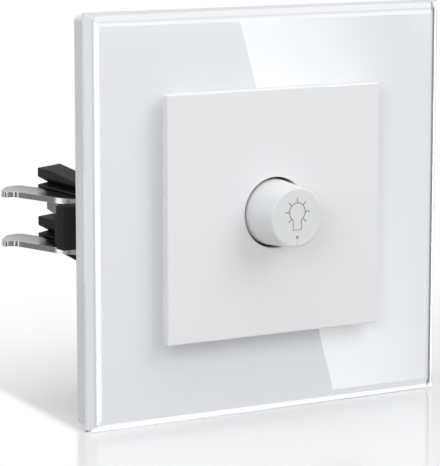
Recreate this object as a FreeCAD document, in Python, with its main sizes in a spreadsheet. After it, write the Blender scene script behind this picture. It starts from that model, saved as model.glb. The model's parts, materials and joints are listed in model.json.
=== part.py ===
import FreeCAD, Part
import os
import Sketcher

# Rotary dimmer switch with a glass frame, for a round flush wall box.
# X runs to the right seen from the room, Y runs into the wall, Z is up.
# The origin is the middle of the switch on the wall's surface.

DIMENSIONS = (
    # Glass panel and the frame behind it
    ("panel_side", 86.0, "glass panel, width and height"),
    ("glass_thickness", 2.5, "glass panel"),
    ("glass_bevel", 1.3, "bevel round the front of the glass"),
    ("enamel_thickness", 0.15, "white enamel on the back of the glass"),
    ("frame_depth", 4.35, "base frame, wall to enamel"),
    ("frame_inset", 0.6, "base frame inside the glass edge"),
    ("frame_corner", 1.5, "rounding of the base frame's corners"),
    ("frame_rim", 2.0, "thickness of the base frame's outer wall"),
    ("frame_web", 1.35, "thickness of the base frame's front web"),
    ("aperture_side", 50.4, "square opening in glass and frame"),
    ("post_offset", 28.0, "frame posts, from the middle in X and in Z"),
    ("post_radius", 2.5, "frame posts"),
    # Centre plate
    ("plate_side", 52.0, "centre plate, width and height"),
    ("plate_proud", 1.95, "centre plate in front of the glass"),
    ("plate_wall", 1.3, "walls behind the centre plate"),
    ("plate_floor", 1.0, "floor that the nut clamps"),
    ("plate_edge", 0.35, "rounding of the centre plate's edges"),
    ("hole_radius", 7.5, "knob hole in the centre plate"),
    ("seat_clearance", 0.3, "gap round pieces that drop into an opening"),
    # Knob and shaft
    ("knob_base_radius", 7.0, "knob where it enters the plate"),
    ("knob_face_radius", 6.25, "knob's front face"),
    ("knob_reach", 8.5, "knob in front of the centre plate"),
    ("knob_sink", 1.2, "knob skirt behind the plate's front"),
    ("knob_wall", 1.2, "knob skirt"),
    ("knob_front", 1.6, "knob's front wall"),
    ("knob_edge", 0.5, "rounding of the knob's front edge"),
    ("knob_boss_radius", 4.4, "boss inside the knob"),
    ("index_offset", 4.1, "index dot under the knob's middle"),
    ("index_radius", 0.32, "index dot"),
    ("index_depth", 0.12, "index dot and the line below it"),
    ("shaft_radius", 3.0, "control shaft"),
    ("shaft_flat", 1.5, "flat on the shaft, above its axis"),
    ("shaft_flat_length", 6.2, "length of the flat from the front end"),
    ("tail_radius", 2.4, "rear end of the shaft"),
    ("tail_flat", 1.6, "the two rear flats, from the axis"),
    ("running_fit", 0.04, "radial play of a turning piece"),
    ("spring_clip_thickness", 0.35, "spring strip between knob and flat"),
    ("push_travel", 1.5, "stroke of the push switch"),
    # Potentiometer
    ("bushing_radius", 4.0, "threaded bushing"),
    ("bushing_reach", 4.2, "bushing in front of the yoke"),
    ("nut_height", 1.8, "retaining nut"),
    ("nut_flats", 11.0, "retaining nut across flats"),
    ("washer_height", 0.6, "spring washer under the nut"),
    ("washer_radius", 6.0, "spring washer"),
    ("pot_side", 16.5, "potentiometer body"),
    ("pot_depth", 6.8, "potentiometer body"),
    ("pot_wall", 0.8, "walls of potentiometer and push switch"),
    ("pot_flange", 1.2, "bushing's mounting flange"),
    ("circlip_radius", 4.6, "retaining ring on the shaft"),
    ("circlip_thickness", 0.6, "retaining ring on the shaft"),
    ("rotor_radius", 6.6, "wiper rotor"),
    ("rotor_thickness", 1.6, "wiper rotor"),
    ("track_thickness", 0.6, "resistor track"),
    ("contact_gap", 0.05, "sliding contact to its track"),
    # Push switch
    ("switch_side", 12.0, "push switch body"),
    ("switch_depth", 5.5, "push switch body"),
    ("plunger_radius", 3.4, "push switch plunger"),
    ("plunger_thickness", 1.2, "push switch plunger"),
    ("bridge_thickness", 0.4, "moving contact bar"),
    ("bridge_reach", 4.2, "moving contact bar, from the axis"),
    ("spring_radius", 1.9, "return spring, outside"),
    ("spring_wire", 0.4, "return spring"),
    # Yoke and its claws
    ("yoke_side", 71.0, "steel yoke, width and height"),
    ("yoke_thickness", 1.2, "steel yoke and claw sheet"),
    ("yoke_corner", 10.0, "corner cut off the yoke"),
    ("slot_pitch", 60.0, "fixing slots of the wall box"),
    ("slot_width", 4.2, "fixing slots"),
    ("slot_length", 8.0, "fixing slots"),
    ("claw_top", 3.0, "top of the upper claw prong"),
    ("claw_pitch", 10.6, "upper prong to lower prong"),
    ("claw_sheet", 1.2, "claw sheet"),
    ("pivot_x", 23.5, "claw pin, from the middle"),
    ("pivot_y", 4.2, "claw pin, behind the wall's surface"),
    ("pin_eye", 2.8, "claw round its pin, from the pin's axis"),
    ("claw_reach", 45.1, "tip of the claw's hook, from the middle"),
    ("claw_length", 36.7, "end of the claw's hook behind the wall's surface"),
    ("arm_bend_x", 39.2, "bend in the outer edge of the claw's arm, from the middle"),
    ("arm_bend_y", 14.3, "the same bend, behind the wall's surface"),
    ("arm_sweep", 12.0, "rounding of that bend"),
    ("hook_root_x", 42.6, "inner corner of the claw's hook, from the middle"),
    ("hook_root_y", 27.3, "the same corner, behind the wall's surface"),
    ("hook_width", 2.1, "tip of the claw's hook, front to back"),
    ("hook_round", 1.5, "rounding of the hook's corners"),
    ("tip_round", 1.0, "rounding of the hook's front corner"),
    ("elbow_round", 2.5, "rounding of the claw's other corners"),
    ("fork_reach", 6.2, "claw's fork outside the pin's axis"),
    ("fork_root", 2.8, "bottom of the claw's fork, from the pin's axis"),
    ("tab_length", 4.3, "tab that hangs from the upper prong"),
    ("tab_drop", 2.2, "tab that hangs from the upper prong"),
    ("pin_radius", 1.25, "claw pin"),
    ("pin_head_radius", 2.1, "claw pin head"),
    ("pin_head", 0.7, "claw pin head"),
    ("lug_width", 5.6, "pin lugs of the yoke"),
    ("lug_reach", 7.0, "pin lugs behind the yoke"),
    ("lug_clearance", 0.2, "claw to pin lug"),
    ("claw_screw_x", 28.3, "claw screw, from the middle"),
    ("claw_screw_radius", 1.5, "claw screw"),
    ("claw_screw_length", 13.2, "claw screw under its head"),
    ("claw_head_radius", 2.7, "claw screw head"),
    ("claw_head", 1.6, "claw screw head"),
    ("claw_nut_width", 4.2, "claw nut, across"),
    ("claw_nut_height", 6.0, "claw nut, up and down"),
    ("claw_nut_length", 2.4, "claw nut, along the screw"),
    # Claw shoe
    ("shoe_front", 12.5, "shoe, behind the wall's surface"),
    ("shoe_back", 32.5, "end of the shoe's pads"),
    ("shoe_spine_inner", 29.5, "inner face of the shoe's spine"),
    ("shoe_spine", 2.0, "shoe's spine"),
    ("pad_reach", 3.5, "pads outside the spine"),
    ("pad_height", 4.7, "pad above its prong, at its inner face"),
    ("pad_slope", 0.6, "fall of the pad's top to its outer face"),
    ("pad_fall", 1.9, "fall of the upper pad's top to its front"),
    ("tooth_height", 1.9, "outer face of the tooth above the pad's groove"),
    ("lip_height", 0.4, "outer face of the lip below the pad's groove"),
    ("groove_depth", 2.4, "groove along the pad's outer face"),
    ("core_reach", 40.4, "outer face of the shoe's core"),
    ("core_front", 9.8, "front of the shoe's core"),
    ("core_depth", 3.3, "outer part of the shoe's core"),
    ("core_length", 5.5, "inner part of the shoe's core"),
    ("foot_reach", 38.2, "outer end of the wedge under the lower prong, from the middle"),
    ("foot_run", 3.3, "sloping underside of that wedge, along X"),
    ("foot_depth", 1.5, "that wedge, front to back"),
    ("foot_height", 1.9, "that wedge, under the prong"),
    # Housing
    ("housing_width", 44.0, "housing"),
    ("housing_height", 46.0, "housing"),
    ("housing_corner", 5.0, "corners cut off the housing"),
    ("housing_depth", 33.0, "housing behind the wall's surface"),
    ("housing_wall", 1.4, "housing walls"),
    ("housing_floor", 1.5, "housing front wall"),
    ("cover_thickness", 2.0, "rear cover"),
    ("recess_top", 9.0, "claw recess, above the middle"),
    ("recess_bottom", 11.9, "claw recess, below the middle"),
    ("recess_front_depth", 2.0, "depth of the recess into the housing's side, in front"),
    ("recess_back_depth", 11.0, "depth of the recess into the housing's side, at the back"),
    ("recess_ramp_start", 10.0, "start of the slope behind the wall's surface"),
    ("recess_ramp_end", 29.0, "end of the slope"),
    ("rivet_x", 14.0, "housing rivets, from the middle"),
    ("rivet_z", 17.5, "housing rivets, from the middle"),
    ("rivet_radius", 1.3, "housing rivets"),
    ("rivet_head_radius", 2.4, "housing rivets"),
    ("rivet_head", 0.8, "housing rivets"),
    ("cover_screw_inset", 6.0, "rear cover screws, inside the housing's top and bottom walls"),
    ("cover_screw_radius", 1.1, "rear cover screws"),
    ("cover_head_radius", 2.0, "rear cover screws"),
    ("cover_head", 1.1, "rear cover screws"),
    ("cover_screw_length", 8.0, "rear cover screws under their heads"),
    # Circuit board and what it carries
    ("board_thickness", 1.6, "circuit board"),
    ("board_side_inset", 7.5, "sides of the circuit board, inside the housing's outside"),
    ("board_end_gap", 1.6, "ends of the circuit board to the housing's top and bottom walls"),
    ("choke_radius", 4.2, "ring core of the choke"),
    ("choke_bore", 2.2, "ring core of the choke"),
    ("choke_height", 4.0, "ring core of the choke"),
    ("winding_thickness", 0.7, "wire round the ring core"),
    ("choke_side_gap", 2.9, "choke winding to the housing's side wall"),
    ("film_width", 10.0, "film capacitor"),
    ("film_depth", 8.0, "film capacitor"),
    ("film_height", 5.0, "film capacitor"),
    ("can_radius", 4.0, "electrolytic capacitor"),
    ("can_length", 10.0, "electrolytic capacitor"),
    ("transistor_width", 10.0, "power transistor"),
    ("transistor_depth", 9.0, "power transistor"),
    ("transistor_height", 3.6, "power transistor"),
    ("sink_width", 16.0, "heat sink plate"),
    ("sink_depth", 13.0, "heat sink plate"),
    ("sink_thickness", 1.3, "heat sink plate"),
    ("sink_offset", 2.0, "heat sink plate, right of the middle"),
    ("leg_length", 2.6, "transistor legs"),
    ("fuse_radius", 2.0, "fuse"),
    ("fuse_length", 20.0, "fuse"),
    ("fuse_cap", 4.0, "end caps of the fuse"),
    ("fuse_clip", 0.8, "clips under the fuse"),
    ("chip_width", 5.0, "control chip"),
    ("chip_height", 4.0, "control chip"),
    ("chip_thickness", 1.5, "control chip"),
    # Terminals
    ("clamp_width", 6.6, "brass terminal clamp"),
    ("clamp_length", 7.0, "brass terminal clamp"),
    ("clamp_wall", 0.95, "brass round the wire bore of a terminal clamp"),
    ("block_wall", 1.2, "walls of the terminal block"),
    ("block_side_gap", 0.1, "sides of the terminal block, inside the ends of the housing's flat bottom"),
    ("terminal_screw_radius", 1.2, "terminal screw"),
    ("terminal_head_radius", 2.2, "terminal screw head"),
    ("terminal_head", 1.3, "terminal screw head"),
)

X, Y, Z = FreeCAD.Vector(1, 0, 0), FreeCAD.Vector(0, 1, 0), FreeCAD.Vector(0, 0, 1)
PLANES = {"along_y": "XZ_Plane", "along_z": "XY_Plane", "along_x": "YZ_Plane"}
LEFT, RIGHT = -1, 1
NUDGE = 1.0


class Size:
    """A length in millimetres beside the sheet expression that it comes from."""

    def __init__(self, text, value):
        self.text = text
        self.value = value

    def __float__(self):
        return float(self.value)

    def __neg__(self):
        return 0 - self

    def __add__(self, other):
        other = as_size(other)
        return Size(f"({self.text} + {other.text})", self.value + other.value)

    def __sub__(self, other):
        other = as_size(other)
        return Size(f"({self.text} - {other.text})", self.value - other.value)

    def __mul__(self, other):
        other = as_size(other)
        return Size(f"({self.text} * {other.text})", self.value * other.value)

    def __truediv__(self, other):
        other = as_size(other)
        return Size(f"({self.text} / {other.text})", self.value / other.value)

    def __radd__(self, other):
        return as_size(other) + self

    def __rsub__(self, other):
        return as_size(other) - self

    def __rmul__(self, other):
        return as_size(other) * self


def as_size(value):
    return value if isinstance(value, Size) else Size(repr(float(value)), float(value))


class Sizes:
    """The driving dimensions, each by its name."""

    def __init__(self, document):
        sheet = document.addObject("Spreadsheet::Sheet", "Sizes")
        for row, (name, value, meaning) in enumerate(DIMENSIONS, start=1):
            sheet.set(f"A{row}", str(value))
            sheet.set(f"B{row}", meaning)
            sheet.setAlias(f"A{row}", name)
            setattr(self, name, Size(f"Sizes.{name}", value))
        document.recompute()


class Layout:
    """Places that follow from the driving dimensions."""

    def __init__(self, mm):
        self.enamel_front = -(mm.frame_depth + mm.enamel_thickness)
        self.glass_front = self.enamel_front - mm.glass_thickness
        self.plate_front = self.glass_front - mm.plate_proud
        self.yoke_front = -mm.yoke_thickness
        self.floor_front = self.yoke_front - mm.plate_floor
        self.washer_front = self.floor_front - mm.washer_height
        self.nut_front = self.washer_front - mm.nut_height
        self.knob_front = self.plate_front - mm.knob_reach
        self.knob_back = self.plate_front + mm.knob_sink
        self.shaft_front = self.knob_front + mm.knob_front + mm.seat_clearance
        self.bushing_front = self.yoke_front - mm.bushing_reach
        self.flange_back = mm.housing_floor + mm.pot_flange
        self.pot_back = self.flange_back + mm.pot_depth
        self.track_back = self.pot_back - mm.pot_wall
        self.track_front = self.track_back - mm.track_thickness
        self.circlip_front = self.flange_back + mm.contact_gap
        self.rotor_front = self.circlip_front + mm.circlip_thickness + mm.push_travel + mm.seat_clearance
        self.rotor_back = self.rotor_front + mm.rotor_thickness
        self.switch_back = self.pot_back + mm.switch_depth
        self.plunger_front = self.pot_back + mm.pot_wall + mm.contact_gap
        self.plunger_back = self.plunger_front + mm.plunger_thickness
        self.bridge_back = self.plunger_back + mm.bridge_thickness
        self.spring_seat = self.switch_back - mm.pot_wall
        self.board_front = self.switch_back + mm.seat_clearance
        self.board_back = self.board_front + mm.board_thickness
        self.cover_back = mm.housing_depth + mm.cover_thickness
        self.cover_boss = mm.cover_screw_radius + mm.pot_wall
        self.room_side = mm.housing_width / 2 - mm.housing_wall
        self.cover_screw_x = self.room_side - self.cover_boss + mm.seat_clearance
        self.recess_front_x = mm.housing_width / 2 - mm.recess_front_depth
        self.recess_back_x = mm.housing_width / 2 - mm.recess_back_depth
        self.prong_tops = (mm.claw_top, mm.claw_top - mm.claw_pitch)
        self.claw_bottom = mm.claw_top - mm.claw_pitch - mm.claw_sheet
        self.claw_middle = (mm.claw_top + self.claw_bottom) / 2
        self.web_front = mm.pivot_y - mm.claw_sheet
        self.tab_outer = mm.arm_bend_x + 1.5 * mm.seat_clearance
        self.tab_inner = self.tab_outer - mm.claw_sheet
        self.core_back = mm.core_front + mm.core_depth
        self.room_top = mm.housing_height / 2 - mm.housing_wall
        self.cover_screw_z = self.room_top - mm.cover_screw_inset
        self.board_half_x = mm.housing_width / 2 - mm.board_side_inset
        self.board_half_z = self.room_top - mm.board_end_gap
        self.choke_x = self.room_side - mm.choke_side_gap - mm.winding_thickness - mm.choke_radius
        self.block_half = self.room_side - mm.housing_corner - mm.block_side_gap
        self.terminal_pitch = self.block_half - mm.block_wall - mm.clamp_width / 2
        self.upper_room = mm.recess_top + mm.housing_wall
        self.lower_room = -(mm.recess_bottom + mm.housing_wall)
        self.clamp_top = self.lower_room - mm.block_wall
        self.clamp_bottom = -self.room_top + mm.terminal_head
        self.wire_z = (self.clamp_top + self.clamp_bottom) / 2
        self.wire_radius = (self.clamp_top - self.clamp_bottom) / 2 - mm.clamp_wall
        self.clamp_back = mm.housing_depth - mm.seat_clearance
        self.clamp_front = self.clamp_back - mm.clamp_length


class Workshop:
    """Makes the document's sub-parts and keeps the list of those that are written out."""

    def __init__(self, document):
        self.document = document
        self.nodes = []

    def finish(self, piece, label):
        piece.Label = label
        self.nodes.append(piece)
        return piece

    def body(self):
        return self.document.addObject("PartDesign::Body", "Body")

    def prism(self, direction, low, high, *outlines):
        """A new body: the outlines swept from the low level to the high one."""
        body = self.body()
        self.add(body, direction, low, high, *outlines)
        return body

    def sketch(self, body, direction, level, outlines):
        sketch = body.newObject("Sketcher::SketchObject", "Outline")
        role = PLANES[direction]
        plane = next(item for item in body.Origin.OriginFeatures if item.Role == role)
        sketch.AttachmentSupport = (plane, [""])
        sketch.MapMode = "FlatFace"
        offset = -as_size(level) if direction == "along_y" else as_size(level)
        bind(sketch, "AttachmentOffset.Base.z", offset)
        for outline in outlines:
            outline(sketch)
        return sketch

    def add(self, body, direction, low, high, *outlines):
        pad = self.feature(body, "PartDesign::Pad", direction, low, high, outlines)
        pad.Reversed = direction == "along_y"
        return pad

    def remove(self, body, direction, low, high, *outlines):
        pocket = self.feature(body, "PartDesign::Pocket", direction, low, high, outlines)
        pocket.Reversed = direction != "along_y"
        return pocket

    def feature(self, body, kind, direction, low, high, outlines):
        sketch = self.sketch(body, direction, low, outlines)
        feature = body.newObject(kind, "Step")
        feature.Profile = sketch
        bind(feature, "Length", high - low)
        sketch.Visibility = False
        return feature

    def turned(self, axis, *outlines):
        """A new body: outlines of radius and height, turned round the Y or Z axis."""
        body = self.body()
        direction = "along_z" if axis == "y" else "along_y"
        sketch = self.sketch(body, direction, 0, outlines)
        turn = body.newObject("PartDesign::Revolution", "Turn")
        turn.Profile = sketch
        turn.ReferenceAxis = (sketch, ["V_Axis"])
        turn.Angle = 360
        return body

    def round_edges(self, body, radius, test, kind="PartDesign::Fillet"):
        """Rounds or bevels the edges of the body that pass the test."""
        self.document.recompute()
        tip = body.Tip
        names = [f"Edge{number}" for number, edge in enumerate(tip.Shape.Edges, start=1) if test(edge)]
        if not names:
            raise RuntimeError(f"no edge to round on {body.Label}")
        feature = body.newObject(kind, "Edges")
        feature.Base = (tip, names)
        bind(feature, "Size" if kind.endswith("Chamfer") else "Radius", as_size(radius))
        return feature

    def box(self, x, y, z):
        """A box from three pairs of low and high levels."""
        box = self.document.addObject("Part::Box", "Box")
        for side, (low, high) in zip(("Length", "Width", "Height"), (x, y, z)):
            bind(box, side, high - low)
        move(box, x[0], y[0], z[0])
        return box

    def rod(self, axis, x, y, z, radius, length):
        """A cylinder that starts at the point and runs along +X, +Y or +Z."""
        rod = self.document.addObject("Part::Cylinder", "Rod")
        turns = {"x": FreeCAD.Rotation(Z, X), "y": FreeCAD.Rotation(Z, Y), "z": FreeCAD.Rotation()}
        rod.Placement = FreeCAD.Placement(FreeCAD.Vector(), turns[axis])
        bind(rod, "Radius", radius)
        bind(rod, "Height", length)
        move(rod, x, y, z)
        return rod

    def cut(self, base, tool):
        cut = self.document.addObject("Part::Cut", "Cut")
        cut.Base = base
        cut.Tool = tool
        return cut

    def group(self, pieces):
        """Like pieces in one node, each still its own solid."""
        group = self.document.addObject("Part::Compound", "Group")
        group.Links = list(pieces)
        return group


def bind(target, path, size):
    """Ties one property of an object to the sheet, or sets it where it is a plain number."""
    target.setExpression(path, as_size(size).text)


def move(piece, x=0, y=0, z=0):
    for letter, size in zip("xyz", (x, y, z)):
        bind(piece, f"Placement.Base.{letter}", size)


def fix_point(sketch, geometry, corner, x, y):
    """Holds one point of a sketch at its two distances from the origin."""
    for kind, letter, size in (("DistanceX", "x", as_size(x)), ("DistanceY", "y", as_size(y))):
        number = sketch.addConstraint(Sketcher.Constraint(kind, -1, 1, geometry, corner, float(size)))
        name = f"{letter}_{geometry}_{corner}"
        sketch.renameConstraint(number, name)
        sketch.setExpression(f"Constraints.{name}", size.text)


def polygon(*points):
    """A closed outline of straight lines through the points."""
    def draw(sketch):
        first = len(sketch.Geometry)
        count = len(points)
        corners = [FreeCAD.Vector(float(x), float(y), 0) for x, y in points]
        for number in range(count):
            sketch.addGeometry(Part.LineSegment(corners[number], corners[(number + 1) % count]), False)
        for number, (x, y) in enumerate(points):
            following = first + (number + 1) % count
            sketch.addConstraint(Sketcher.Constraint("Coincident", first + number, 2, following, 1))
            fix_point(sketch, first + number, 1, x, y)
    return draw


def rectangle(low, high):
    return polygon(low, (high[0], low[1]), high, (low[0], high[1]))


def square(half):
    return rectangle((-half, -half), (half, half))


def disc(radius, centre=(0, 0)):
    def draw(sketch):
        number = len(sketch.Geometry)
        middle = FreeCAD.Vector(float(centre[0]), float(centre[1]), 0)
        sketch.addGeometry(Part.Circle(middle, Z, float(radius)), False)
        name = f"radius_{number}"
        constraint = sketch.addConstraint(Sketcher.Constraint("Radius", number, float(radius)))
        sketch.renameConstraint(constraint, name)
        sketch.setExpression(f"Constraints.{name}", as_size(radius).text)
        fix_point(sketch, number, 3, *centre)
    return draw


def cut_corner_box(half_x, half_z, corner):
    """A rectangle round the origin with its four corners cut off at 45 degrees."""
    points = []
    for side_x, side_z in ((-1, -1), (1, -1), (1, 1), (-1, 1)):
        on_side = (side_x * half_x, side_z * (half_z - corner))
        on_end = (side_x * (half_x - corner), side_z * half_z)
        points += [on_side, on_end] if side_x == side_z else [on_end, on_side]
    return polygon(*points)


def four_ways(x, z):
    return [(side_x * x, side_z * z) for side_x in (-1, 1) for side_z in (-1, 1)]


def between(side, near, far):
    """Two distances from the middle as low and high levels on one side of it."""
    return (near, far) if side == RIGHT else (-far, -near)


def lies_at(edge, letter, level):
    """Whether the whole edge lies at one level of an axis."""
    box = edge.BoundBox
    low, high = getattr(box, f"{letter}Min"), getattr(box, f"{letter}Max")
    return abs(low - float(level)) < 0.001 and abs(high - float(level)) < 0.001


def runs_along(edge, direction):
    """Whether the edge is a straight line along the direction."""
    if not isinstance(edge.Curve, (Part.Line, Part.LineSegment)):
        return False
    first, last = edge.Vertexes[0].Point, edge.Vertexes[-1].Point
    return abs(abs((last - first).normalize().dot(direction)) - 1) < 0.0001


def passes(edge, x, y):
    """Whether an upright edge stands over this point."""
    point = edge.Vertexes[0].Point
    return abs(point.x - float(x)) < 0.01 and abs(point.y - float(y)) < 0.01


def glass_panel(shop, mm, at):
    """Square glass with a bevelled front edge and a square opening."""
    half = mm.panel_side / 2
    back = at.enamel_front
    glass = shop.prism("along_y", at.glass_front, back, square(half), square(mm.aperture_side / 2))

    def on_front_rim(edge):
        outside = [lies_at(edge, letter, sign * half) for letter in "XZ" for sign in (-1, 1)]
        return lies_at(edge, "Y", at.glass_front) and any(outside)

    shop.round_edges(glass, mm.glass_bevel, on_front_rim, "PartDesign::Chamfer")
    shop.finish(glass, "glass_panel")


def glass_enamel(shop, mm, at):
    """White enamel on the back of the glass, which gives the panel its colour."""
    half = mm.panel_side / 2 - mm.frame_inset
    opening = square(mm.aperture_side / 2)
    enamel = shop.prism("along_y", at.enamel_front, -mm.frame_depth, square(half), opening)
    shop.finish(enamel, "glass_enamel")


def base_frame(shop, mm, at):
    """Plastic frame that carries the glass: front web, outer rim and four posts on the yoke."""
    half = mm.panel_side / 2 - mm.frame_inset
    web_back = -mm.frame_depth + mm.frame_web
    frame = shop.prism("along_y", -mm.frame_depth, web_back, square(half), square(mm.aperture_side / 2))
    shop.add(frame, "along_y", web_back, 0, square(half), square(half - mm.frame_rim))
    for x, z in four_ways(mm.post_offset, mm.post_offset):
        shop.add(frame, "along_y", web_back, at.yoke_front, disc(mm.post_radius, (x, z)))

    def is_outer_corner(edge):
        point = edge.Vertexes[0].Point
        outside = abs(abs(point.x) - float(half)) < 0.001 and abs(abs(point.z) - float(half)) < 0.001
        return runs_along(edge, Y) and outside

    shop.round_edges(frame, mm.frame_corner, is_outer_corner)
    shop.finish(frame, "base_frame")


def centre_plate(shop, mm, at):
    """Centre plate with a skirt in the opening and a cup whose floor the nut clamps."""
    half = mm.plate_side / 2
    skirt = mm.aperture_side / 2 - mm.seat_clearance
    tube = mm.hole_radius + mm.plate_wall
    bore = mm.bushing_radius + mm.seat_clearance
    plate = shop.prism("along_y", at.plate_front, at.glass_front, square(half), disc(mm.hole_radius))
    skirt_back = -mm.frame_depth + mm.frame_web
    shop.add(plate, "along_y", at.glass_front, skirt_back, square(skirt), square(skirt - mm.plate_wall))
    shop.add(plate, "along_y", at.glass_front, at.floor_front, disc(tube), disc(mm.hole_radius))
    shop.add(plate, "along_y", at.floor_front, at.yoke_front, disc(tube), disc(bore))

    def is_outer_edge(edge):
        sides = [lies_at(edge, letter, sign * half) for letter in "XZ" for sign in (-1, 1)]
        return sum(sides) == 2 or (lies_at(edge, "Y", at.plate_front) and any(sides))

    shop.round_edges(plate, mm.plate_edge, is_outer_edge)
    shop.finish(plate, "centre_plate")


def hexagon(flats):
    """A regular hexagon round the origin, by its width across flats."""
    corner = flats / 3 ** 0.5
    return polygon((corner, 0), (corner / 2, flats / 2), (-corner / 2, flats / 2),
                   (-corner, 0), (-corner / 2, -flats / 2), (corner / 2, -flats / 2))


def retaining_nut(shop, mm, at):
    nut = shop.prism("along_y", at.nut_front, at.washer_front, hexagon(mm.nut_flats), disc(thread_bore(mm)))
    shop.finish(nut, "retaining_nut")


def thread_bore(mm):
    """Bore of what screws or slips on the bushing."""
    return mm.bushing_radius + mm.running_fit


def spring_washer(shop, mm, at):
    outside, bore = disc(mm.washer_radius), disc(thread_bore(mm))
    washer = shop.prism("along_y", at.washer_front, at.floor_front, outside, bore)
    shop.finish(washer, "spring_washer")


def knob(shop, mm, at):
    """Tapered knob: a thin skirt, a front wall with the index, and a boss with a D-shaped bore."""
    front, back = at.knob_front, at.knob_back
    inside = front + mm.knob_front
    bore = mm.shaft_radius + mm.running_fit
    boss_back = back - mm.seat_clearance
    body = shop.turned("y", polygon(
        (0, front), (mm.knob_face_radius, front), (mm.knob_base_radius, back),
        (mm.knob_base_radius - mm.knob_wall, back), (mm.knob_face_radius - mm.knob_wall, inside),
        (mm.knob_boss_radius, inside), (mm.knob_boss_radius, boss_back), (bore, boss_back),
        (bore, inside), (0, inside)))
    flat = mm.shaft_flat + mm.spring_clip_thickness + 2 * mm.contact_gap
    half_key = bore * 0.8
    key = rectangle((-half_key, flat), (half_key, bore + mm.seat_clearance))
    key_back = at.shaft_front + mm.shaft_flat_length - mm.seat_clearance
    shop.add(body, "along_y", inside - mm.contact_gap, key_back, key)

    def is_front_rim(edge):
        return lies_at(edge, "Y", front) and abs(edge.BoundBox.XMax - float(mm.knob_face_radius)) < 0.01

    shop.round_edges(body, mm.knob_edge, is_front_rim)
    dot = disc(mm.index_radius, (0, -mm.index_offset))
    shop.remove(body, "along_y", front, front + mm.index_depth, dot)
    half_line = mm.index_radius / 2
    line = rectangle((-half_line, -(mm.knob_base_radius + NUDGE)), (half_line, -mm.index_offset))
    shop.remove(body, "along_y", front, front + mm.index_depth, line)
    shop.finish(body, "knob")


def knob_spring_clip(shop, mm, at):
    """Flat spring that wedges the knob on the shaft's flat."""
    low = mm.shaft_flat + mm.contact_gap
    length = mm.shaft_flat_length - 4 * mm.seat_clearance
    start = at.shaft_front + mm.seat_clearance
    half = mm.shaft_flat - mm.seat_clearance
    clip = shop.box((-half, half), (start, start + length), (low, low + mm.spring_clip_thickness))
    shop.finish(clip, "knob_spring_clip")


def control_shaft(shop, mm, at):
    """Shaft with a front flat for the knob and two rear flats that drive the rotor."""
    neck = at.circlip_front
    radius, tail = mm.shaft_radius, mm.tail_radius
    shaft = shop.turned("y", polygon(
        (0, at.shaft_front), (radius, at.shaft_front), (radius, neck),
        (tail, neck), (tail, at.plunger_front), (0, at.plunger_front)))
    above = rectangle((-2 * radius, mm.shaft_flat), (2 * radius, 2 * radius))
    shop.remove(shaft, "along_y", at.shaft_front, at.shaft_front + mm.shaft_flat_length, above)
    flats_front = neck + mm.circlip_thickness
    for side in (-1, 1):
        slab = rectangle((-2 * radius, side * mm.tail_flat), (2 * radius, side * 2 * radius))
        shop.remove(shaft, "along_y", flats_front, at.plunger_front, slab)
    shop.finish(shaft, "control_shaft")


def shaft_circlip(shop, mm, at):
    """Open ring behind the flange, which keeps the shaft in."""
    gap = mm.tail_radius * 0.7
    ring = shop.prism("along_y", at.circlip_front, at.circlip_front + mm.circlip_thickness,
                      disc(mm.circlip_radius), disc(mm.tail_radius + mm.contact_gap))
    mouth = rectangle((-gap, 0), (gap, 2 * mm.circlip_radius))
    shop.remove(ring, "along_y", at.circlip_front, at.circlip_front + mm.circlip_thickness, mouth)
    shop.finish(ring, "shaft_circlip")


def bushing(shop, mm, at):
    """Threaded bushing on a square flange inside the housing."""
    bore = mm.shaft_radius + mm.running_fit
    part = shop.prism("along_y", mm.housing_floor, at.flange_back, square(mm.pot_side / 2), disc(bore))
    shop.add(part, "along_y", at.bushing_front, mm.housing_floor, disc(mm.bushing_radius), disc(bore))
    shop.finish(part, "bushing")


def pot_case(shop, mm, at):
    """Case of the potentiometer, open towards the flange."""
    half = mm.pot_side / 2
    inside = half - mm.pot_wall
    case = shop.prism("along_y", at.flange_back, at.pot_back, square(half), disc(tail_hole(mm)))
    shop.remove(case, "along_y", at.flange_back, at.track_back, disc(inside))
    shop.finish(case, "pot_case")


def tail_hole(mm):
    """Hole that the rear end of the shaft passes with clearance."""
    return mm.tail_radius + mm.seat_clearance


def resistor_track(shop, mm, at):
    inner = mm.tail_radius + 4 * mm.seat_clearance + mm.pot_wall
    outer = mm.pot_side / 2 - mm.pot_wall - mm.seat_clearance
    track = shop.prism("along_y", at.track_front, at.track_back, disc(outer), disc(inner))
    shop.finish(track, "resistor_track")


def wiper_rotor(shop, mm, at):
    """Disc that the shaft's rear flats turn while the shaft slides through it."""
    rotor = shop.prism("along_y", at.rotor_front, at.rotor_back, disc(mm.rotor_radius))
    play = mm.contact_gap
    long_half = mm.tail_radius + play
    flat_half = mm.tail_flat + play
    slot = rectangle((-long_half, -flat_half), (long_half, flat_half))
    shop.remove(rotor, "along_y", at.rotor_front, at.rotor_back, slot)
    shop.finish(rotor, "wiper_rotor")


def wiper_contact(shop, mm, at):
    """Spring strip on the rotor that slides on the track."""
    outer = mm.rotor_radius - mm.seat_clearance
    inner = mm.tail_radius + 4 * mm.seat_clearance + mm.pot_wall
    half = mm.pot_wall
    strip = shop.box((inner, outer), (at.rotor_back, at.track_front - mm.contact_gap), (-half, half))
    shop.finish(strip, "wiper_contact")


def pot_terminals(shop, mm, at):
    """Three tinned pins under the potentiometer, bent back to the circuit board."""
    top = -mm.pot_side / 2
    wire = mm.pot_wall
    start = at.track_back - wire
    end = at.board_front
    pins = []
    for place in (-1, 0, 1):
        x = place * mm.pot_side * 0.3
        outline = polygon((start, top), (start, top - 2 * wire), (end, top - 2 * wire),
                          (end, top - wire), (start + wire, top - wire), (start + wire, top))
        pins.append(shop.prism("along_x", x - wire / 2, x + wire / 2, outline))
    shop.finish(shop.group(pins), "pot_terminals")


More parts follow.
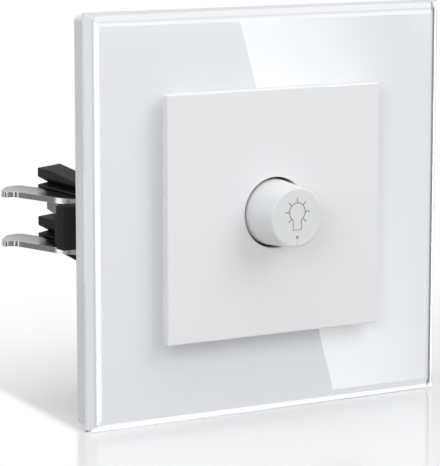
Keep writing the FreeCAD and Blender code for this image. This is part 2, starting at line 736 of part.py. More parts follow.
def push_switch_case(shop, mm, at):
    """Case of the push switch behind the potentiometer."""
    half = mm.switch_side / 2
    case = shop.prism("along_y", at.pot_back, at.switch_back, square(half))
    shop.remove(case, "along_y", at.pot_back, at.pot_back + mm.pot_wall, disc(tail_hole(mm)))
    inside = square(half - mm.pot_wall)
    shop.remove(case, "along_y", at.pot_back + mm.pot_wall, at.spring_seat, inside)
    shop.finish(case, "push_switch_case")


def switch_plunger(shop, mm, at):
    plunger = shop.prism("along_y", at.plunger_front, at.plunger_back, disc(mm.plunger_radius))
    shop.finish(plunger, "switch_plunger")


def contact_bridge(shop, mm, at):
    """Bar on the plunger that joins the two fixed contacts when it is pushed in."""
    reach = mm.bridge_reach
    half = mm.pot_wall
    bar = shop.box((-reach, reach), (at.plunger_back, at.bridge_back), (-half, half))
    shop.finish(bar, "contact_bridge")


def fixed_contacts(shop, mm, at):
    front = at.bridge_back + mm.push_travel
    half = mm.pot_wall
    near = mm.spring_radius + mm.seat_clearance
    pieces = []
    for side in (LEFT, RIGHT):
        span = between(side, near + mm.seat_clearance, mm.bridge_reach)
        pieces.append(shop.box(span, (front, at.spring_seat), (-half, half)))
    shop.finish(shop.group(pieces), "fixed_contacts")


def return_spring(shop, mm, at):
    """Coil spring that lifts the plunger, as the tube that it winds in."""
    spring = shop.prism("along_y", at.bridge_back, at.spring_seat,
                        disc(mm.spring_radius), disc(mm.spring_radius - mm.spring_wire))
    shop.finish(spring, "return_spring")


def yoke(shop, mm, at):
    """Steel support plate: fixing slots, claw screw holes, rivet holes and lugs for the claw pins."""
    half = mm.yoke_side / 2
    plate = shop.prism("along_y", at.yoke_front, 0, cut_corner_box(half, half, mm.yoke_corner),
                       disc(mm.bushing_radius + mm.seat_clearance))
    half_slot = mm.slot_width / 2
    straight = (mm.slot_length - mm.slot_width) / 2
    for side in (-1, 1):
        z = side * mm.slot_pitch / 2
        slot = rectangle((-half_slot, z - straight), (half_slot, z + straight))
        shop.remove(plate, "along_y", at.yoke_front, 0, slot)
        for end in (-1, 1):
            end_disc = disc(half_slot, (0, z + end * straight))
            shop.remove(plate, "along_y", at.yoke_front, 0, end_disc)
    holes = [disc(mm.rivet_radius, place) for place in four_ways(mm.rivet_x, mm.rivet_z)]
    screw_hole = mm.claw_screw_radius + mm.seat_clearance
    for side in (LEFT, RIGHT):
        holes.append(disc(screw_hole, (side * mm.claw_screw_x, at.claw_middle)))
    for hole in holes:
        shop.remove(plate, "along_y", at.yoke_front, 0, hole)
    for side in (LEFT, RIGHT):
        x = between(side, mm.pivot_x - mm.lug_width / 2, mm.pivot_x + mm.lug_width / 2)
        for low, high, window_low, window_high in lug_levels(mm, at):
            window = rectangle((x[0], window_low), (x[1], window_high))
            shop.remove(plate, "along_y", at.yoke_front, 0, window)
            lug = rectangle((x[0], at.yoke_front), (x[1], mm.lug_reach))
            shop.add(plate, "along_z", low, high, lug)
            pin_hole = disc(mm.pin_radius + mm.running_fit / 2, (side * mm.pivot_x, mm.pivot_y))
            shop.remove(plate, "along_z", low, high, pin_hole)
    shop.finish(plate, "yoke")


def lug_levels(mm, at):
    """Low and high level of each pin lug, and of the window that it was bent from."""
    upper = mm.claw_top + mm.lug_clearance
    lower = at.claw_bottom - mm.lug_clearance
    thick = mm.yoke_thickness
    return ((upper, upper + thick, upper + thick, upper + mm.lug_reach),
            (lower - thick, lower, lower - mm.lug_reach, lower - thick))


def claw_prong_outline(side, mm):
    """Plan of one prong: pin eye in front, an arm that sweeps outwards, and a hook that bites."""
    pin_x, pin_y, eye = mm.pivot_x, mm.pivot_y, mm.pin_eye
    tip_x, end_y, hook = mm.claw_reach, mm.claw_length, mm.hook_width
    inner = mm.shoe_spine_inner + mm.shoe_spine + mm.contact_gap
    points = (
        (pin_x - eye, pin_y), (pin_x - eye / 2, pin_y - eye), (pin_x + 2.5 * eye, pin_y - eye),
        (mm.arm_bend_x, mm.arm_bend_y), (mm.hook_root_x, mm.hook_root_y),
        (tip_x, mm.hook_root_y + hook * 0.43), (tip_x - hook * 0.1, mm.hook_root_y + hook * 1.43),
        (tip_x - hook * 1.85, end_y - hook * 0.6), (tip_x - hook * 3.6, end_y),
        (tip_x - hook * 4.3, end_y - hook * 2.2), (inner, end_y - hook * 6.4),
        (inner, mm.shoe_front - mm.claw_sheet), (pin_x + eye, pin_y + eye))
    return [(side * x, y) for x, y in points]


def claw(shop, mm, at, side, label):
    """Spreading claw: two prongs joined in front by a forked web that straddles the claw screw."""
    points = claw_prong_outline(side, mm)
    top, bottom, sheet = mm.claw_top, at.claw_bottom, mm.claw_sheet
    web = between(side, mm.pivot_x + mm.pin_radius + mm.seat_clearance, mm.pivot_x + mm.fork_reach)
    part = shop.prism("along_z", bottom, top, rectangle((web[0], at.web_front), (web[1], mm.pivot_y)))
    for level in at.prong_tops:
        shop.add(part, "along_z", level - sheet, level, polygon(*points))
    tab = between(side, at.tab_inner, at.tab_outer)
    tab_front = at.core_back + mm.seat_clearance
    tab_back = tab_front + mm.tab_length
    under = top - sheet
    shop.add(part, "along_x", tab[0], tab[1], polygon(
        (tab_front, under), (tab_back, under), (tab_back, under - mm.tab_drop / 2),
        (tab_back - mm.tab_length / 4, under - mm.tab_drop * 0.8), (tab_front, under - mm.tab_drop)))
    pin_hole = disc(mm.pin_radius + mm.running_fit, (side * mm.pivot_x, mm.pivot_y))
    shop.remove(part, "along_z", bottom - NUDGE, top + NUDGE, pin_hole)
    half_slot = mm.claw_screw_radius + mm.seat_clearance
    fork = rectangle((side * (mm.pivot_x + mm.fork_root), at.claw_middle - half_slot),
                     (side * (mm.pivot_x + mm.fork_reach + NUDGE), at.claw_middle + half_slot))
    shop.remove(part, "along_y", at.web_front - NUDGE, mm.pivot_y + NUDGE, fork)

    def stands_at(*numbers):
        return lambda edge: runs_along(edge, Z) and any(passes(edge, *points[number]) for number in numbers)

    shop.round_edges(part, mm.arm_sweep, stands_at(3))
    shop.round_edges(part, mm.hook_round, stands_at(4, 6, 7, 8))
    shop.round_edges(part, mm.tip_round, stands_at(5))
    shop.round_edges(part, mm.elbow_round, stands_at(1, 9))
    shop.finish(part, label)


def claw_shoe(shop, mm, at, side, label):
    """Black shoe moulded on the claw: a spine, a grooved pad over each prong, a core and a wedge below."""
    inner, spine = mm.shoe_spine_inner, mm.shoe_spine
    outer = inner + spine
    gap = 2 * mm.contact_gap
    first, second = at.prong_tops
    reach = outer + mm.pad_reach
    front, back = mm.shoe_front, mm.shoe_back
    foot_top = at.claw_bottom - gap
    foot_bottom = foot_top - mm.foot_height
    top = first + mm.pad_height
    part = shop.prism("along_z", foot_bottom, top - mm.pad_slope,
                      rectangle((side * inner, front), (side * outer, back - mm.shoe_spine)))
    for prong_top in (first, second):
        low, high = prong_top + gap, prong_top + mm.pad_height
        shoulder = high - mm.pad_slope
        groove = (side * (reach - mm.groove_depth), low + 2 * mm.lip_height)
        shop.add(part, "along_y", front, back, polygon(
            (side * inner, low), (side * reach, low), (side * reach, low + mm.lip_height), groove,
            (side * reach, shoulder - mm.tooth_height), (side * reach, shoulder), (side * inner, high)))
    across = between(side, inner - NUDGE, reach + NUDGE)
    shop.remove(part, "along_x", across[0], across[1], polygon(
        (back, top), (back, top + NUDGE), (front - NUDGE, top + NUDGE),
        (front - NUDGE, top - mm.pad_fall), (front, top - mm.pad_fall)))
    core_back = front + mm.core_length
    tab_face = at.tab_inner - gap
    shop.add(part, "along_z", second + gap, first - mm.claw_sheet - gap, polygon(
        (side * inner, front), (side * reach, mm.core_front), (side * mm.core_reach, mm.core_front),
        (side * mm.core_reach, at.core_back), (side * tab_face, at.core_back), (side * tab_face, core_back),
        (side * inner, core_back)))
    shop.add(part, "along_y", front, front + mm.foot_depth, polygon(
        (side * inner, foot_top), (side * mm.foot_reach, foot_top),
        (side * (mm.foot_reach - mm.foot_run), foot_bottom), (side * inner, foot_bottom)))
    shop.finish(part, label)


def claw_pin(shop, mm, at, side, label):
    """Headed pin through both lugs and both prongs."""
    (_, upper_high, *_), (lower_low, *_) = lug_levels(mm, at)
    bottom, top = lower_low - mm.pin_head, upper_high + mm.pin_head
    pin = shop.turned("z", polygon(
        (0, bottom), (mm.pin_radius, bottom), (mm.pin_radius, upper_high),
        (mm.pin_head_radius, upper_high), (mm.pin_head_radius, top), (0, top)))
    move(pin, side * mm.pivot_x, mm.pivot_y, 0)
    shop.finish(pin, label)


def claw_screw(shop, mm, at, side, label):
    """Pan-head screw with a cross recess, which draws the claw nut forward."""
    front = at.yoke_front - mm.claw_head
    radius, end = mm.claw_screw_radius, at.yoke_front + mm.claw_screw_length
    screw = shop.turned("y", polygon(
        (0, front), (mm.claw_head_radius - 0.5, front), (mm.claw_head_radius, front + 0.5),
        (mm.claw_head_radius, at.yoke_front), (radius, at.yoke_front), (radius, end - 0.5),
        (radius - 0.5, end), (0, end)))
    cross_recess(shop, screw, front, front + mm.claw_head * 0.6, mm.claw_head_radius)
    move(screw, side * mm.claw_screw_x, 0, at.claw_middle)
    shop.finish(screw, label)


def cross_recess(shop, screw, low, high, head_radius):
    """Cross recess in a screw head, between two levels of Y."""
    long_half, short_half = head_radius * 0.55, head_radius * 0.13
    for x, z in ((long_half, short_half), (short_half, long_half)):
        shop.remove(screw, "along_y", low, high, rectangle((-x, -z), (x, z)))


def claw_nut(shop, mm, at, side, label):
    """Square nut behind the claw's fork, free to travel along the screw."""
    front = mm.pivot_y + mm.contact_gap
    half_x, half_z = mm.claw_nut_width / 2, mm.claw_nut_height / 2
    x, z = side * mm.claw_screw_x, at.claw_middle
    nut = shop.prism("along_y", front, front + mm.claw_nut_length,
                     rectangle((x - half_x, z - half_z), (x + half_x, z + half_z)),
                     disc(mm.claw_screw_radius + mm.running_fit, (x, z)))
    shop.finish(nut, label)


def recess_outline(side, mm, at, inset, past):
    """Plan of the space beside the housing that a claw swings into, or of the wall inside it."""
    front_x, back_x = at.recess_front_x - inset, at.recess_back_x - inset
    return [(side * front_x, -past), (side * front_x, mm.recess_ramp_start),
            (side * back_x, mm.recess_ramp_end)]


def housing(shop, mm, at):
    """Black housing, open at the back, with a sloping recess on each side for the claws."""
    half_x, half_z = mm.housing_width / 2, mm.housing_height / 2
    depth, wall = mm.housing_depth, mm.housing_wall
    body = shop.prism("along_y", 0, depth, cut_corner_box(half_x, half_z, mm.housing_corner))
    low, high = -mm.recess_bottom, mm.recess_top
    for side in (LEFT, RIGHT):
        slope = recess_outline(side, mm, at, 0, NUDGE)
        outside = side * (half_x + NUDGE)
        shop.remove(body, "along_z", low, high, polygon(
            *slope, (side * at.recess_back_x, depth + NUDGE), (outside, depth + NUDGE), (outside, -NUDGE)))
    floor, inner_x, corner = mm.housing_floor, half_x - wall, mm.housing_corner
    for near, far, turn in ((at.upper_room, at.room_top, corner), (at.lower_room, -at.room_top, -corner)):
        shop.remove(body, "along_y", floor, depth, polygon(
            (-inner_x, near), (inner_x, near), (inner_x, far - turn),
            (inner_x - corner, far), (corner - inner_x, far), (-inner_x, far - turn)))
    slope = recess_outline(RIGHT, mm, at, wall, 0)[1:]
    corners = [(at.recess_front_x - wall, floor), *slope, (at.recess_back_x - wall, depth)]
    mirrored = [(-x, y) for x, y in reversed(corners)]
    shop.remove(body, "along_z", at.lower_room, at.upper_room, polygon(*corners, *mirrored))
    start = depth - mm.cover_screw_length
    for place in cover_screw_places(mm, at):
        shop.add(body, "along_y", start, depth, disc(at.cover_boss, place))
        shop.remove(body, "along_y", start, depth, disc(mm.cover_screw_radius + mm.contact_gap, place))
    shop.remove(body, "along_y", 0, floor, disc(mm.bushing_radius + mm.seat_clearance))
    for place in four_ways(mm.rivet_x, mm.rivet_z):
        shop.remove(body, "along_y", 0, floor, disc(mm.rivet_radius, place))
    for x in terminal_places(at):
        middle = (x, (at.clamp_front + at.clamp_back) / 2)
        reach = mm.terminal_head_radius + mm.seat_clearance
        shop.remove(body, "along_z", -half_z, -at.room_top, disc(reach, middle))
    shop.finish(body, "housing")


def terminal_places(at):
    return [place * at.terminal_pitch for place in (-1, 0, 1)]


def rear_cover(shop, mm, at):
    """Cover over the housing's back, with a hole over each wire entry."""
    half_x, half_z = mm.housing_width / 2, mm.housing_height / 2
    low, high = mm.housing_depth, at.cover_back
    cover = shop.prism("along_y", low, high, cut_corner_box(half_x, half_z, mm.housing_corner))
    for side in (LEFT, RIGHT):
        shop.remove(cover, "along_y", low, high, rectangle(
            (side * at.recess_back_x, -mm.recess_bottom), (side * (half_x + NUDGE), mm.recess_top)))
    for x in terminal_places(at):
        shop.remove(cover, "along_y", low, high, disc(at.wire_radius + mm.seat_clearance, (x, at.wire_z)))
    for place in cover_screw_places(mm, at):
        shop.remove(cover, "along_y", low, high, disc(mm.cover_screw_radius + mm.contact_gap, place))
    shop.finish(cover, "rear_cover")


def cover_screw_places(mm, at):
    return four_ways(at.cover_screw_x, at.cover_screw_z)


def cover_screws(shop, mm, at):
    """Four screws through the rear cover into the housing's bosses."""
    screws = []
    end = mm.housing_depth - mm.cover_screw_length + NUDGE
    shank, head = mm.cover_screw_radius, mm.cover_head_radius
    seat, top = at.cover_back, at.cover_back + mm.cover_head
    for x, z in cover_screw_places(mm, at):
        screw = shop.turned("y", polygon(
            (0, end), (shank, end), (shank, seat), (head, seat), (head, seat + mm.cover_head / 2),
            (head - mm.cover_head / 2, top), (0, top)))
        cross_recess(shop, screw, top - mm.cover_head * 0.6, top, head)
        move(screw, x, 0, z)
        screws.append(screw)
    shop.finish(shop.group(screws), "cover_screws")


def housing_rivets(shop, mm, at):
    """Four hollow rivets that hold the housing to the yoke."""
    rivets = []
    front, back = at.yoke_front - mm.rivet_head, mm.housing_floor + mm.rivet_head
    radius, head = mm.rivet_radius, mm.rivet_head_radius
    closed = head - mm.seat_clearance
    for x, z in four_ways(mm.rivet_x, mm.rivet_z):
        rivet = shop.turned("y", polygon(
            (radius / 2, front), (head, front), (head, at.yoke_front), (radius, at.yoke_front),
            (radius, mm.housing_floor), (closed, mm.housing_floor), (closed, back), (radius / 2, back)))
        move(rivet, x, 0, z)
        rivets.append(rivet)
    shop.finish(shop.group(rivets), "housing_rivets")


def circuit_board(shop, mm, at):
    half_x, half_z = at.board_half_x, at.board_half_z
    board = shop.prism("along_y", at.board_front, at.board_back,
                       rectangle((-half_x, -half_z), (half_x, half_z)))
    shop.finish(board, "circuit_board")


def choke(shop, mm, at):
    """Ring core with its winding, open on one side where the wires leave."""
    x, z = -at.choke_x, (at.upper_room + at.room_top) / 2
    thick = mm.winding_thickness
    front = at.board_back + thick
    back = front + mm.choke_height
    core = shop.prism("along_y", front, back, disc(mm.choke_radius, (x, z)), disc(mm.choke_bore, (x, z)))
    shop.finish(core, "choke_core")
    coat = shop.prism("along_y", front - thick, back + thick,
                      disc(mm.choke_radius + thick, (x, z)), disc(mm.choke_bore - thick, (x, z)))
    shop.remove(coat, "along_y", front - thick, back + thick, rectangle(
        (x - mm.choke_bore / 2, z), (x + mm.choke_bore / 2, z + 2 * mm.choke_radius)))
    inside = shop.prism("along_y", front, back, disc(mm.choke_radius, (x, z)), disc(mm.choke_bore, (x, z)))
    shop.finish(shop.cut(coat, inside), "choke_winding")


def power_stage(shop, mm, at):
    """Power transistor under an aluminium plate at the top of the housing."""
    front, middle = at.board_back, mm.sink_offset
    plate_z = (at.room_top - mm.sink_thickness, at.room_top)
    half_plate, half_case = mm.sink_width / 2, mm.transistor_width / 2
    plate = shop.box((middle - half_plate, middle + half_plate), (front, front + mm.sink_depth), plate_z)
    shop.finish(plate, "heat_sink")
    start = front + mm.leg_length
    case_z = (plate_z[0] - mm.transistor_height, plate_z[0])
    case = shop.box((middle - half_case, middle + half_case), (start, start + mm.transistor_depth), case_z)
    shop.finish(case, "power_transistor")
    half_leg = mm.pot_wall / 2
    leg_z = (case_z[0] + case_z[1]) / 2
    leg_span = (leg_z - half_leg, leg_z + half_leg)
    legs = []
    for place in (-1, 0, 1):
        x = middle + place * half_case / 2
        legs.append(shop.box((x - half_leg, x + half_leg), (front, start), leg_span))
    shop.finish(shop.group(legs), "transistor_legs")


def capacitors(shop, mm, at):
    front, left = at.board_back, mm.sink_offset + mm.transistor_width / 2
    low = at.upper_room + mm.seat_clearance
    film_z = (low, low + mm.film_height)
    film = shop.box((left, left + mm.film_width), (front, front + mm.film_depth), film_z)
    shop.finish(film, "film_capacitor")
    can = shop.rod("y", 0, front, 0, mm.can_radius, mm.can_length)
    shop.finish(can, "smoothing_capacitor")


def control_chip(shop, mm, at):
    left, front, half = mm.chip_thickness - at.board_half_x, at.board_back, mm.chip_height / 2
    chip = shop.box((left, left + mm.chip_width), (front, front + mm.chip_thickness), (-half, half))
    shop.finish(chip, "control_chip")


def fuse(shop, mm, at):
    """Fuse with two end caps, each on a clip that stands on the circuit board."""
    radius, half, cap = mm.fuse_radius, mm.fuse_length / 2, mm.fuse_cap
    clip_back = at.board_back + mm.fuse_clip
    y = clip_back + radius
    z = at.lower_room - radius - mm.seat_clearance
    tube = shop.rod("x", cap - half, y, z, radius, mm.fuse_length - 2 * cap)
    shop.finish(tube, "fuse_tube")
    caps = [shop.rod("x", start, y, z, radius, cap) for start in (-half, half - cap)]
    shop.finish(shop.group(caps), "fuse_caps")
    clips = []
    for side in (LEFT, RIGHT):
        span = between(side, half - cap * 0.8, half - cap * 0.2)
        clips.append(shop.box(span, (at.board_back, clip_back), (z - radius, z + radius)))
    shop.finish(shop.group(clips), "fuse_clips")


def terminals(shop, mm, at):
    """Insulating block with three brass clamps; wires come in from the back, screws from below."""
    gap, half = mm.contact_gap, mm.clamp_width / 2
    front, back = at.clamp_front, at.clamp_back
    low, high = at.clamp_bottom, at.clamp_top
    bottom = -at.room_top
    half_block = at.block_half
    half_foot = half_block - mm.block_wall * 2
    block = shop.prism("along_y", front - mm.block_wall, back, polygon(
        (-half_foot, bottom), (half_foot, bottom), (half_block, low), (half_block, high + mm.block_wall),
        (-half_block, high + mm.block_wall), (-half_block, low)))
    clamps, screws = [], []
    screw_y = (front + back) / 2
    for x in terminal_places(at):
        chamber = rectangle((x - half - gap, low), (x + half + gap, high + gap))
        shop.remove(block, "along_y", front - gap, back, chamber)
        shop.remove(block, "along_z", bottom, low + NUDGE, disc(mm.terminal_head_radius + gap, (x, screw_y)))
        clamp = shop.prism("along_y", front, back, rectangle((x - half, low), (x + half, high)))
        shop.remove(clamp, "along_y", front + mm.block_wall, back, disc(at.wire_radius, (x, at.wire_z)))
        shop.remove(clamp, "along_z", low, at.wire_z, disc(mm.terminal_screw_radius + gap, (x, screw_y)))
        clamps.append(clamp)
        screws.append(terminal_screw(shop, mm, at, x, screw_y))
    shop.finish(block, "terminal_block")
    shop.finish(shop.group(clamps), "terminal_clamps")
    shop.finish(shop.group(screws), "terminal_screws")


def terminal_screw(shop, mm, at, x, y):
    """Screw under a clamp, its tip level with the bottom of the wire bore."""
    shank, head = mm.terminal_screw_radius, mm.terminal_head_radius
    tip = at.wire_z - at.wire_radius
    under_head = at.clamp_bottom - mm.seat_clearance
    bottom = under_head - mm.terminal_head
    screw = shop.turned("z", polygon(
        (0, bottom), (head, bottom), (head, under_head), (shank, under_head), (shank, tip), (0, tip)))
    half_slot = mm.terminal_head / 4
    slot = rectangle((-head, -half_slot), (head, half_slot))
    shop.remove(screw, "along_z", bottom, bottom + mm.terminal_head / 2, slot)
    move(screw, x, y, 0)
    return screw


def build(shop, mm, at):
    for piece in (glass_panel, glass_enamel, base_frame, centre_plate, retaining_nut, spring_washer,
                  knob, knob_spring_clip, control_shaft, shaft_circlip,
                  bushing, pot_case, resistor_track, wiper_rotor, wiper_contact, pot_terminals,
                  push_switch_case, switch_plunger, contact_bridge, fixed_contacts, return_spring, yoke):
        piece(shop, mm, at)
    for side, name in ((LEFT, "left"), (RIGHT, "right")):
        claw(shop, mm, at, side, f"claw_{name}")
        claw_shoe(shop, mm, at, side, f"claw_shoe_{name}")
        claw_pin(shop, mm, at, side, f"claw_pin_{name}")
        claw_screw(shop, mm, at, side, f"claw_screw_{name}")
        claw_nut(shop, mm, at, side, f"claw_nut_{name}")
    for piece in (housing, rear_cover, cover_screws, housing_rivets, circuit_board, choke,
                  power_stage, capacitors, control_chip, fuse, terminals):
        piece(shop, mm, at)


def check(document, nodes):
    """Stops on a failed feature, a cut that took nothing away, or a shape that isn't sound."""
    for item in document.Objects:
        if "Invalid" in item.State or "Error" in item.State:
            raise RuntimeError(f"{item.Name} in {item.Label} failed: {item.State}")
        if item.TypeId == "PartDesign::Pocket":
            if item.Shape.Volume > item.BaseFeature.Shape.Volume - 0.0001:
                raise RuntimeError(f"{item.Name} of {item.getParentGeoFeatureGroup().Label} cuts nothing")
    for node in nodes:
        if node.Shape.isNull() or not node.Shape.isValid() or not node.Shape.Solids:
            raise RuntimeError(f"{node.Label} has no sound shape")


def main():
    document = FreeCAD.newDocument("dimmer_switch")
    mm = Sizes(document)
    shop = Workshop(document)
    build(shop, mm, Layout(mm))
    document.recompute()
    check(document, shop.nodes)
    os.makedirs("parts", exist_ok=True)
    for node in shop.nodes:
        node.Shape.exportStep(os.path.join("parts", node.Label + ".step"))
    print(len(shop.nodes), "nodes written")


main()
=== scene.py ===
import json
import math

import bmesh
import bpy
from bpy.props import FloatProperty, FloatVectorProperty, IntProperty, PointerProperty
from mathutils import Matrix, Vector

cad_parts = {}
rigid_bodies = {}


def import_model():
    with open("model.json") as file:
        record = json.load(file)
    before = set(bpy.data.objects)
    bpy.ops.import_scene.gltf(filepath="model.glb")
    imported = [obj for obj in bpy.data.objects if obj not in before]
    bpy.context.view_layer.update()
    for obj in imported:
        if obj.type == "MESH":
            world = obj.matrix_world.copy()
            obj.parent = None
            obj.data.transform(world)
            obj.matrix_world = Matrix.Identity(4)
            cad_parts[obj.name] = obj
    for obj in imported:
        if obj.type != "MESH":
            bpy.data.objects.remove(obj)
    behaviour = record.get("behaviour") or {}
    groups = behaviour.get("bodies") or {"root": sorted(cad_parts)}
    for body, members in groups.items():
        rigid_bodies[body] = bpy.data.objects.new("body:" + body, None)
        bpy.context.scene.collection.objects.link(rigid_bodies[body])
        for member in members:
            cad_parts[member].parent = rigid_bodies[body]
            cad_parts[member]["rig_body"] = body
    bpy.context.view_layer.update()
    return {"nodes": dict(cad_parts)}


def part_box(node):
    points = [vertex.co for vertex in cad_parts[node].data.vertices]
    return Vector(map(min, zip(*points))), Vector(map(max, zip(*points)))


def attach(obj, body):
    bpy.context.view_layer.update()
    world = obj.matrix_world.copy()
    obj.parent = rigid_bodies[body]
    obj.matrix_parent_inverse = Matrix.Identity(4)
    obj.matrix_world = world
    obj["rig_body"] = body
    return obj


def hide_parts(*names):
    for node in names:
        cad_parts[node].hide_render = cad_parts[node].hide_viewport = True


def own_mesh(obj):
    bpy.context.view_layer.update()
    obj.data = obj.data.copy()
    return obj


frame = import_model()

bl_info = {
    "name": "Rotary Dimmer Finish",
    "version": (1, 0, 0),
    "blender": (4, 5, 0),
    "location": "View3D > Sidebar > Dimmer",
    "description": "Dresses the packed rotary dimmer with its finishes, fine edges and studio",
    "category": "Object",
}

MM = 0.001
GLASS_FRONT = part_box("glass_panel")[0].y
GLASS_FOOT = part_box("glass_panel")[0].z
KNOB_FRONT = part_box("knob")[0].y
# Where the claw's hook stops mirroring the dark card and where the table's tone begins, both along X
HOOK_CARD_EDGE = -49.4 * MM
TABLE_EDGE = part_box("glass_panel")[0].x + 1 * MM


# Shader maths


def maths(operation, swapped=False):
    """A method of Wire that adds one Math node for the operation."""

    def method(wire, *others):
        values = (*others, wire) if swapped else (wire, *others)
        return wire.paint.node("ShaderNodeMath", {"operation": operation}, *values)

    return method


class Wire:
    """A node output; Python's operators on it add Math nodes."""

    def __init__(self, paint, socket):
        self.paint = paint
        self.socket = socket

    __add__ = maths("ADD")
    __radd__ = __add__
    __sub__ = maths("SUBTRACT")
    __rsub__ = maths("SUBTRACT", swapped=True)
    __mul__ = maths("MULTIPLY")
    __truediv__ = maths("DIVIDE")
    __pow__ = maths("POWER")
    __lt__ = maths("LESS_THAN")
    __gt__ = maths("GREATER_THAN")
    __abs__ = maths("ABSOLUTE")
    largest = maths("MAXIMUM")
    fraction = maths("FRACT")
    cosine = maths("COSINE")
    sine = maths("SINE")


class Tree:
    """A node tree, with its nodes written as calls and expressions."""

    def __init__(self, tree):
        self.tree = tree
        tree.nodes.clear()

    def node(self, kind, settings=None, *values, output=0, **named):
        """Adds a node: first its settings, then the values or links of its sockets. Gives back one of its
        outputs, or nothing where the node ends the tree."""
        node = self.tree.nodes.new(kind)
        for key, value in (settings or {}).items():
            setattr(node, key, value)
        for number, value in enumerate(values):
            self.feed(node.inputs[number], value)
        for key, value in named.items():
            self.feed(node.inputs[key.replace("_", " ")], value)
        return Wire(self, node.outputs[output]) if node.outputs else None

    def ramp(self, value, start, end, low=0.0, high=1.0, soft=False):
        """Low where the value is at its start or before it, high at its end or beyond."""
        kind = {"interpolation_type": "SMOOTHSTEP"} if soft else None
        return self.node("ShaderNodeMapRange", kind, value, start, end, low, high)

    def feed(self, socket, value):
        if isinstance(value, Wire):
            self.tree.links.new(value.socket, socket)
        elif value is not None:
            socket.default_value = value


class Build(Tree):
    """One Geometry Nodes tree with named inputs for its sizes."""

    def __init__(self, name, sizes):
        super().__init__(bpy.data.node_groups.new(name, "GeometryNodeTree"))
        self.sizes = sizes
        self.tree.interface.new_socket("Geometry", in_out="INPUT", socket_type="NodeSocketGeometry")
        for label, value in sizes.items():
            kind = "NodeSocketInt" if isinstance(value, int) else "NodeSocketFloat"
            self.tree.interface.new_socket(label, in_out="INPUT", socket_type=kind)
        self.tree.interface.new_socket("Geometry", in_out="OUTPUT", socket_type="NodeSocketGeometry")
        entry = self.tree.nodes.new("NodeGroupInput")
        self.inputs = {socket.name: Wire(self, socket) for socket in entry.outputs if socket.name}

    def point(self, x, y, z):
        return self.node("ShaderNodeCombineXYZ", None, x, y, z)

    def wire(self, count, place, thickness):
        """A round wire through as many points as the count; place is their position by Index."""
        line = self.node("GeometryNodeMeshLine", None, Count=count)
        path = self.node("GeometryNodeSetPosition", None, Geometry=line, Position=place)
        curve = self.node("GeometryNodeMeshToCurve", None, path)
        ring = self.node("GeometryNodeCurvePrimitiveCircle", None, Resolution=8, Radius=thickness)
        return self.node("GeometryNodeCurveToMesh", None, curve, ring, Fill_Caps=True)

    def piece(self, name, geometry, material):
        """Ends the tree, runs it once with its sizes and gives back a plain object."""
        real = self.node("GeometryNodeRealizeInstances", None, geometry)
        painted = self.node("GeometryNodeSetMaterial", None, Geometry=real, Material=material)
        self.node("NodeGroupOutput", None, painted)
        piece = linked(name, bpy.data.meshes.new(name))
        modifier = piece.modifiers.new("tree", "NODES")
        modifier.node_group = self.tree
        for item in self.tree.interface.items_tree:
            if item.in_out == "INPUT" and item.name in self.sizes:
                modifier[item.identifier] = self.sizes[item.name]
        return apply_modifiers(piece)


class Paint(Tree):
    """One material."""

    def __init__(self, name):
        self.material = bpy.data.materials.new(name)
        self.material.use_nodes = True
        super().__init__(self.material.node_tree)

    def place(self):
        """Where on the piece, in metres."""
        return self.node("ShaderNodeTexCoord", output=3)

    def parts(self, vector):
        """A vector's X, Y and Z."""
        split = self.node("ShaderNodeSeparateXYZ", None, vector)
        return [Wire(self, socket) for socket in split.socket.node.outputs]

    def axes(self):
        return self.parts(self.place())

    def stretched(self, scale):
        return self.node("ShaderNodeMapping", None, self.place(), Scale=scale)

    def noise(self, size, detail=3.0, rough=0.5, where=None):
        """Noise whose blobs are about the size, in metres."""
        where = where or self.place()
        return self.node("ShaderNodeTexNoise", None, where, Scale=1.0 / size, Detail=detail, Roughness=rough)

    def facing(self):
        """The direction that the surface faces, as X, Y and Z."""
        return self.parts(self.node("ShaderNodeNewGeometry", output=1))

    def spread(self, value, low, high):
        """A value of 0 to 1 spread between two numbers."""
        return low + value * (high - low)

    def blend(self, factor, first, second):
        """Between two colours."""
        node = self.tree.nodes.new("ShaderNodeMix")
        node.data_type = "RGBA"
        self.feed(node.inputs[0], factor)
        self.feed(node.inputs[6], opaque(first))
        self.feed(node.inputs[7], opaque(second))
        return Wire(self, node.outputs[2])

    def bump(self, height, depth):
        """A bump whose full height is the depth, in metres."""
        return self.node("ShaderNodeBump", None, Height=height, Distance=depth, Strength=1.0)

    def principled(self, colour, roughness, metallic=0.0, normal=None, **fixed):
        return self.surface(self.node("ShaderNodeBsdfPrincipled", None, Base_Color=opaque(colour),
                                      Roughness=roughness, Metallic=metallic, Normal=normal, **fixed))

    def surface(self, shader):
        self.node("ShaderNodeOutputMaterial", None, shader)
        return self.material


def opaque(colour):
    return colour if isinstance(colour, Wire) else (*colour, 1.0)


def scaled(colour, share):
    return tuple(part * share for part in colour)


# Finishes


def moulded(name, colour, gloss, grain=0.25 * MM, depth=0.004 * MM, patch=0.02, painted_top_shade=None, **fixed):
    """Injection-moulded plastic: fine spark-eroded grain and faint unevenness. Faces that look upward can
    take painted shade, a tone given as a share of the colour."""
    paint = Paint(name)
    grains = paint.noise(grain, 2.0, 0.6)
    clouds = paint.noise(9 * MM, 3.0)
    lighter = tuple(min(1.0, part * (1 + patch)) for part in colour)
    tint = paint.blend(clouds, scaled(colour, 1 - patch), lighter)
    # Painted shade on faces that look upward.
    if painted_top_shade:
        rise = paint.facing()[2]
        tint = paint.blend(paint.ramp(rise, 0.3, 0.8), tint, scaled(colour, painted_top_shade))
    rough = paint.spread(grains, gloss - 0.04, gloss + 0.04)
    return paint.principled(tint, rough, 0.0, paint.bump(grains, depth), **fixed)


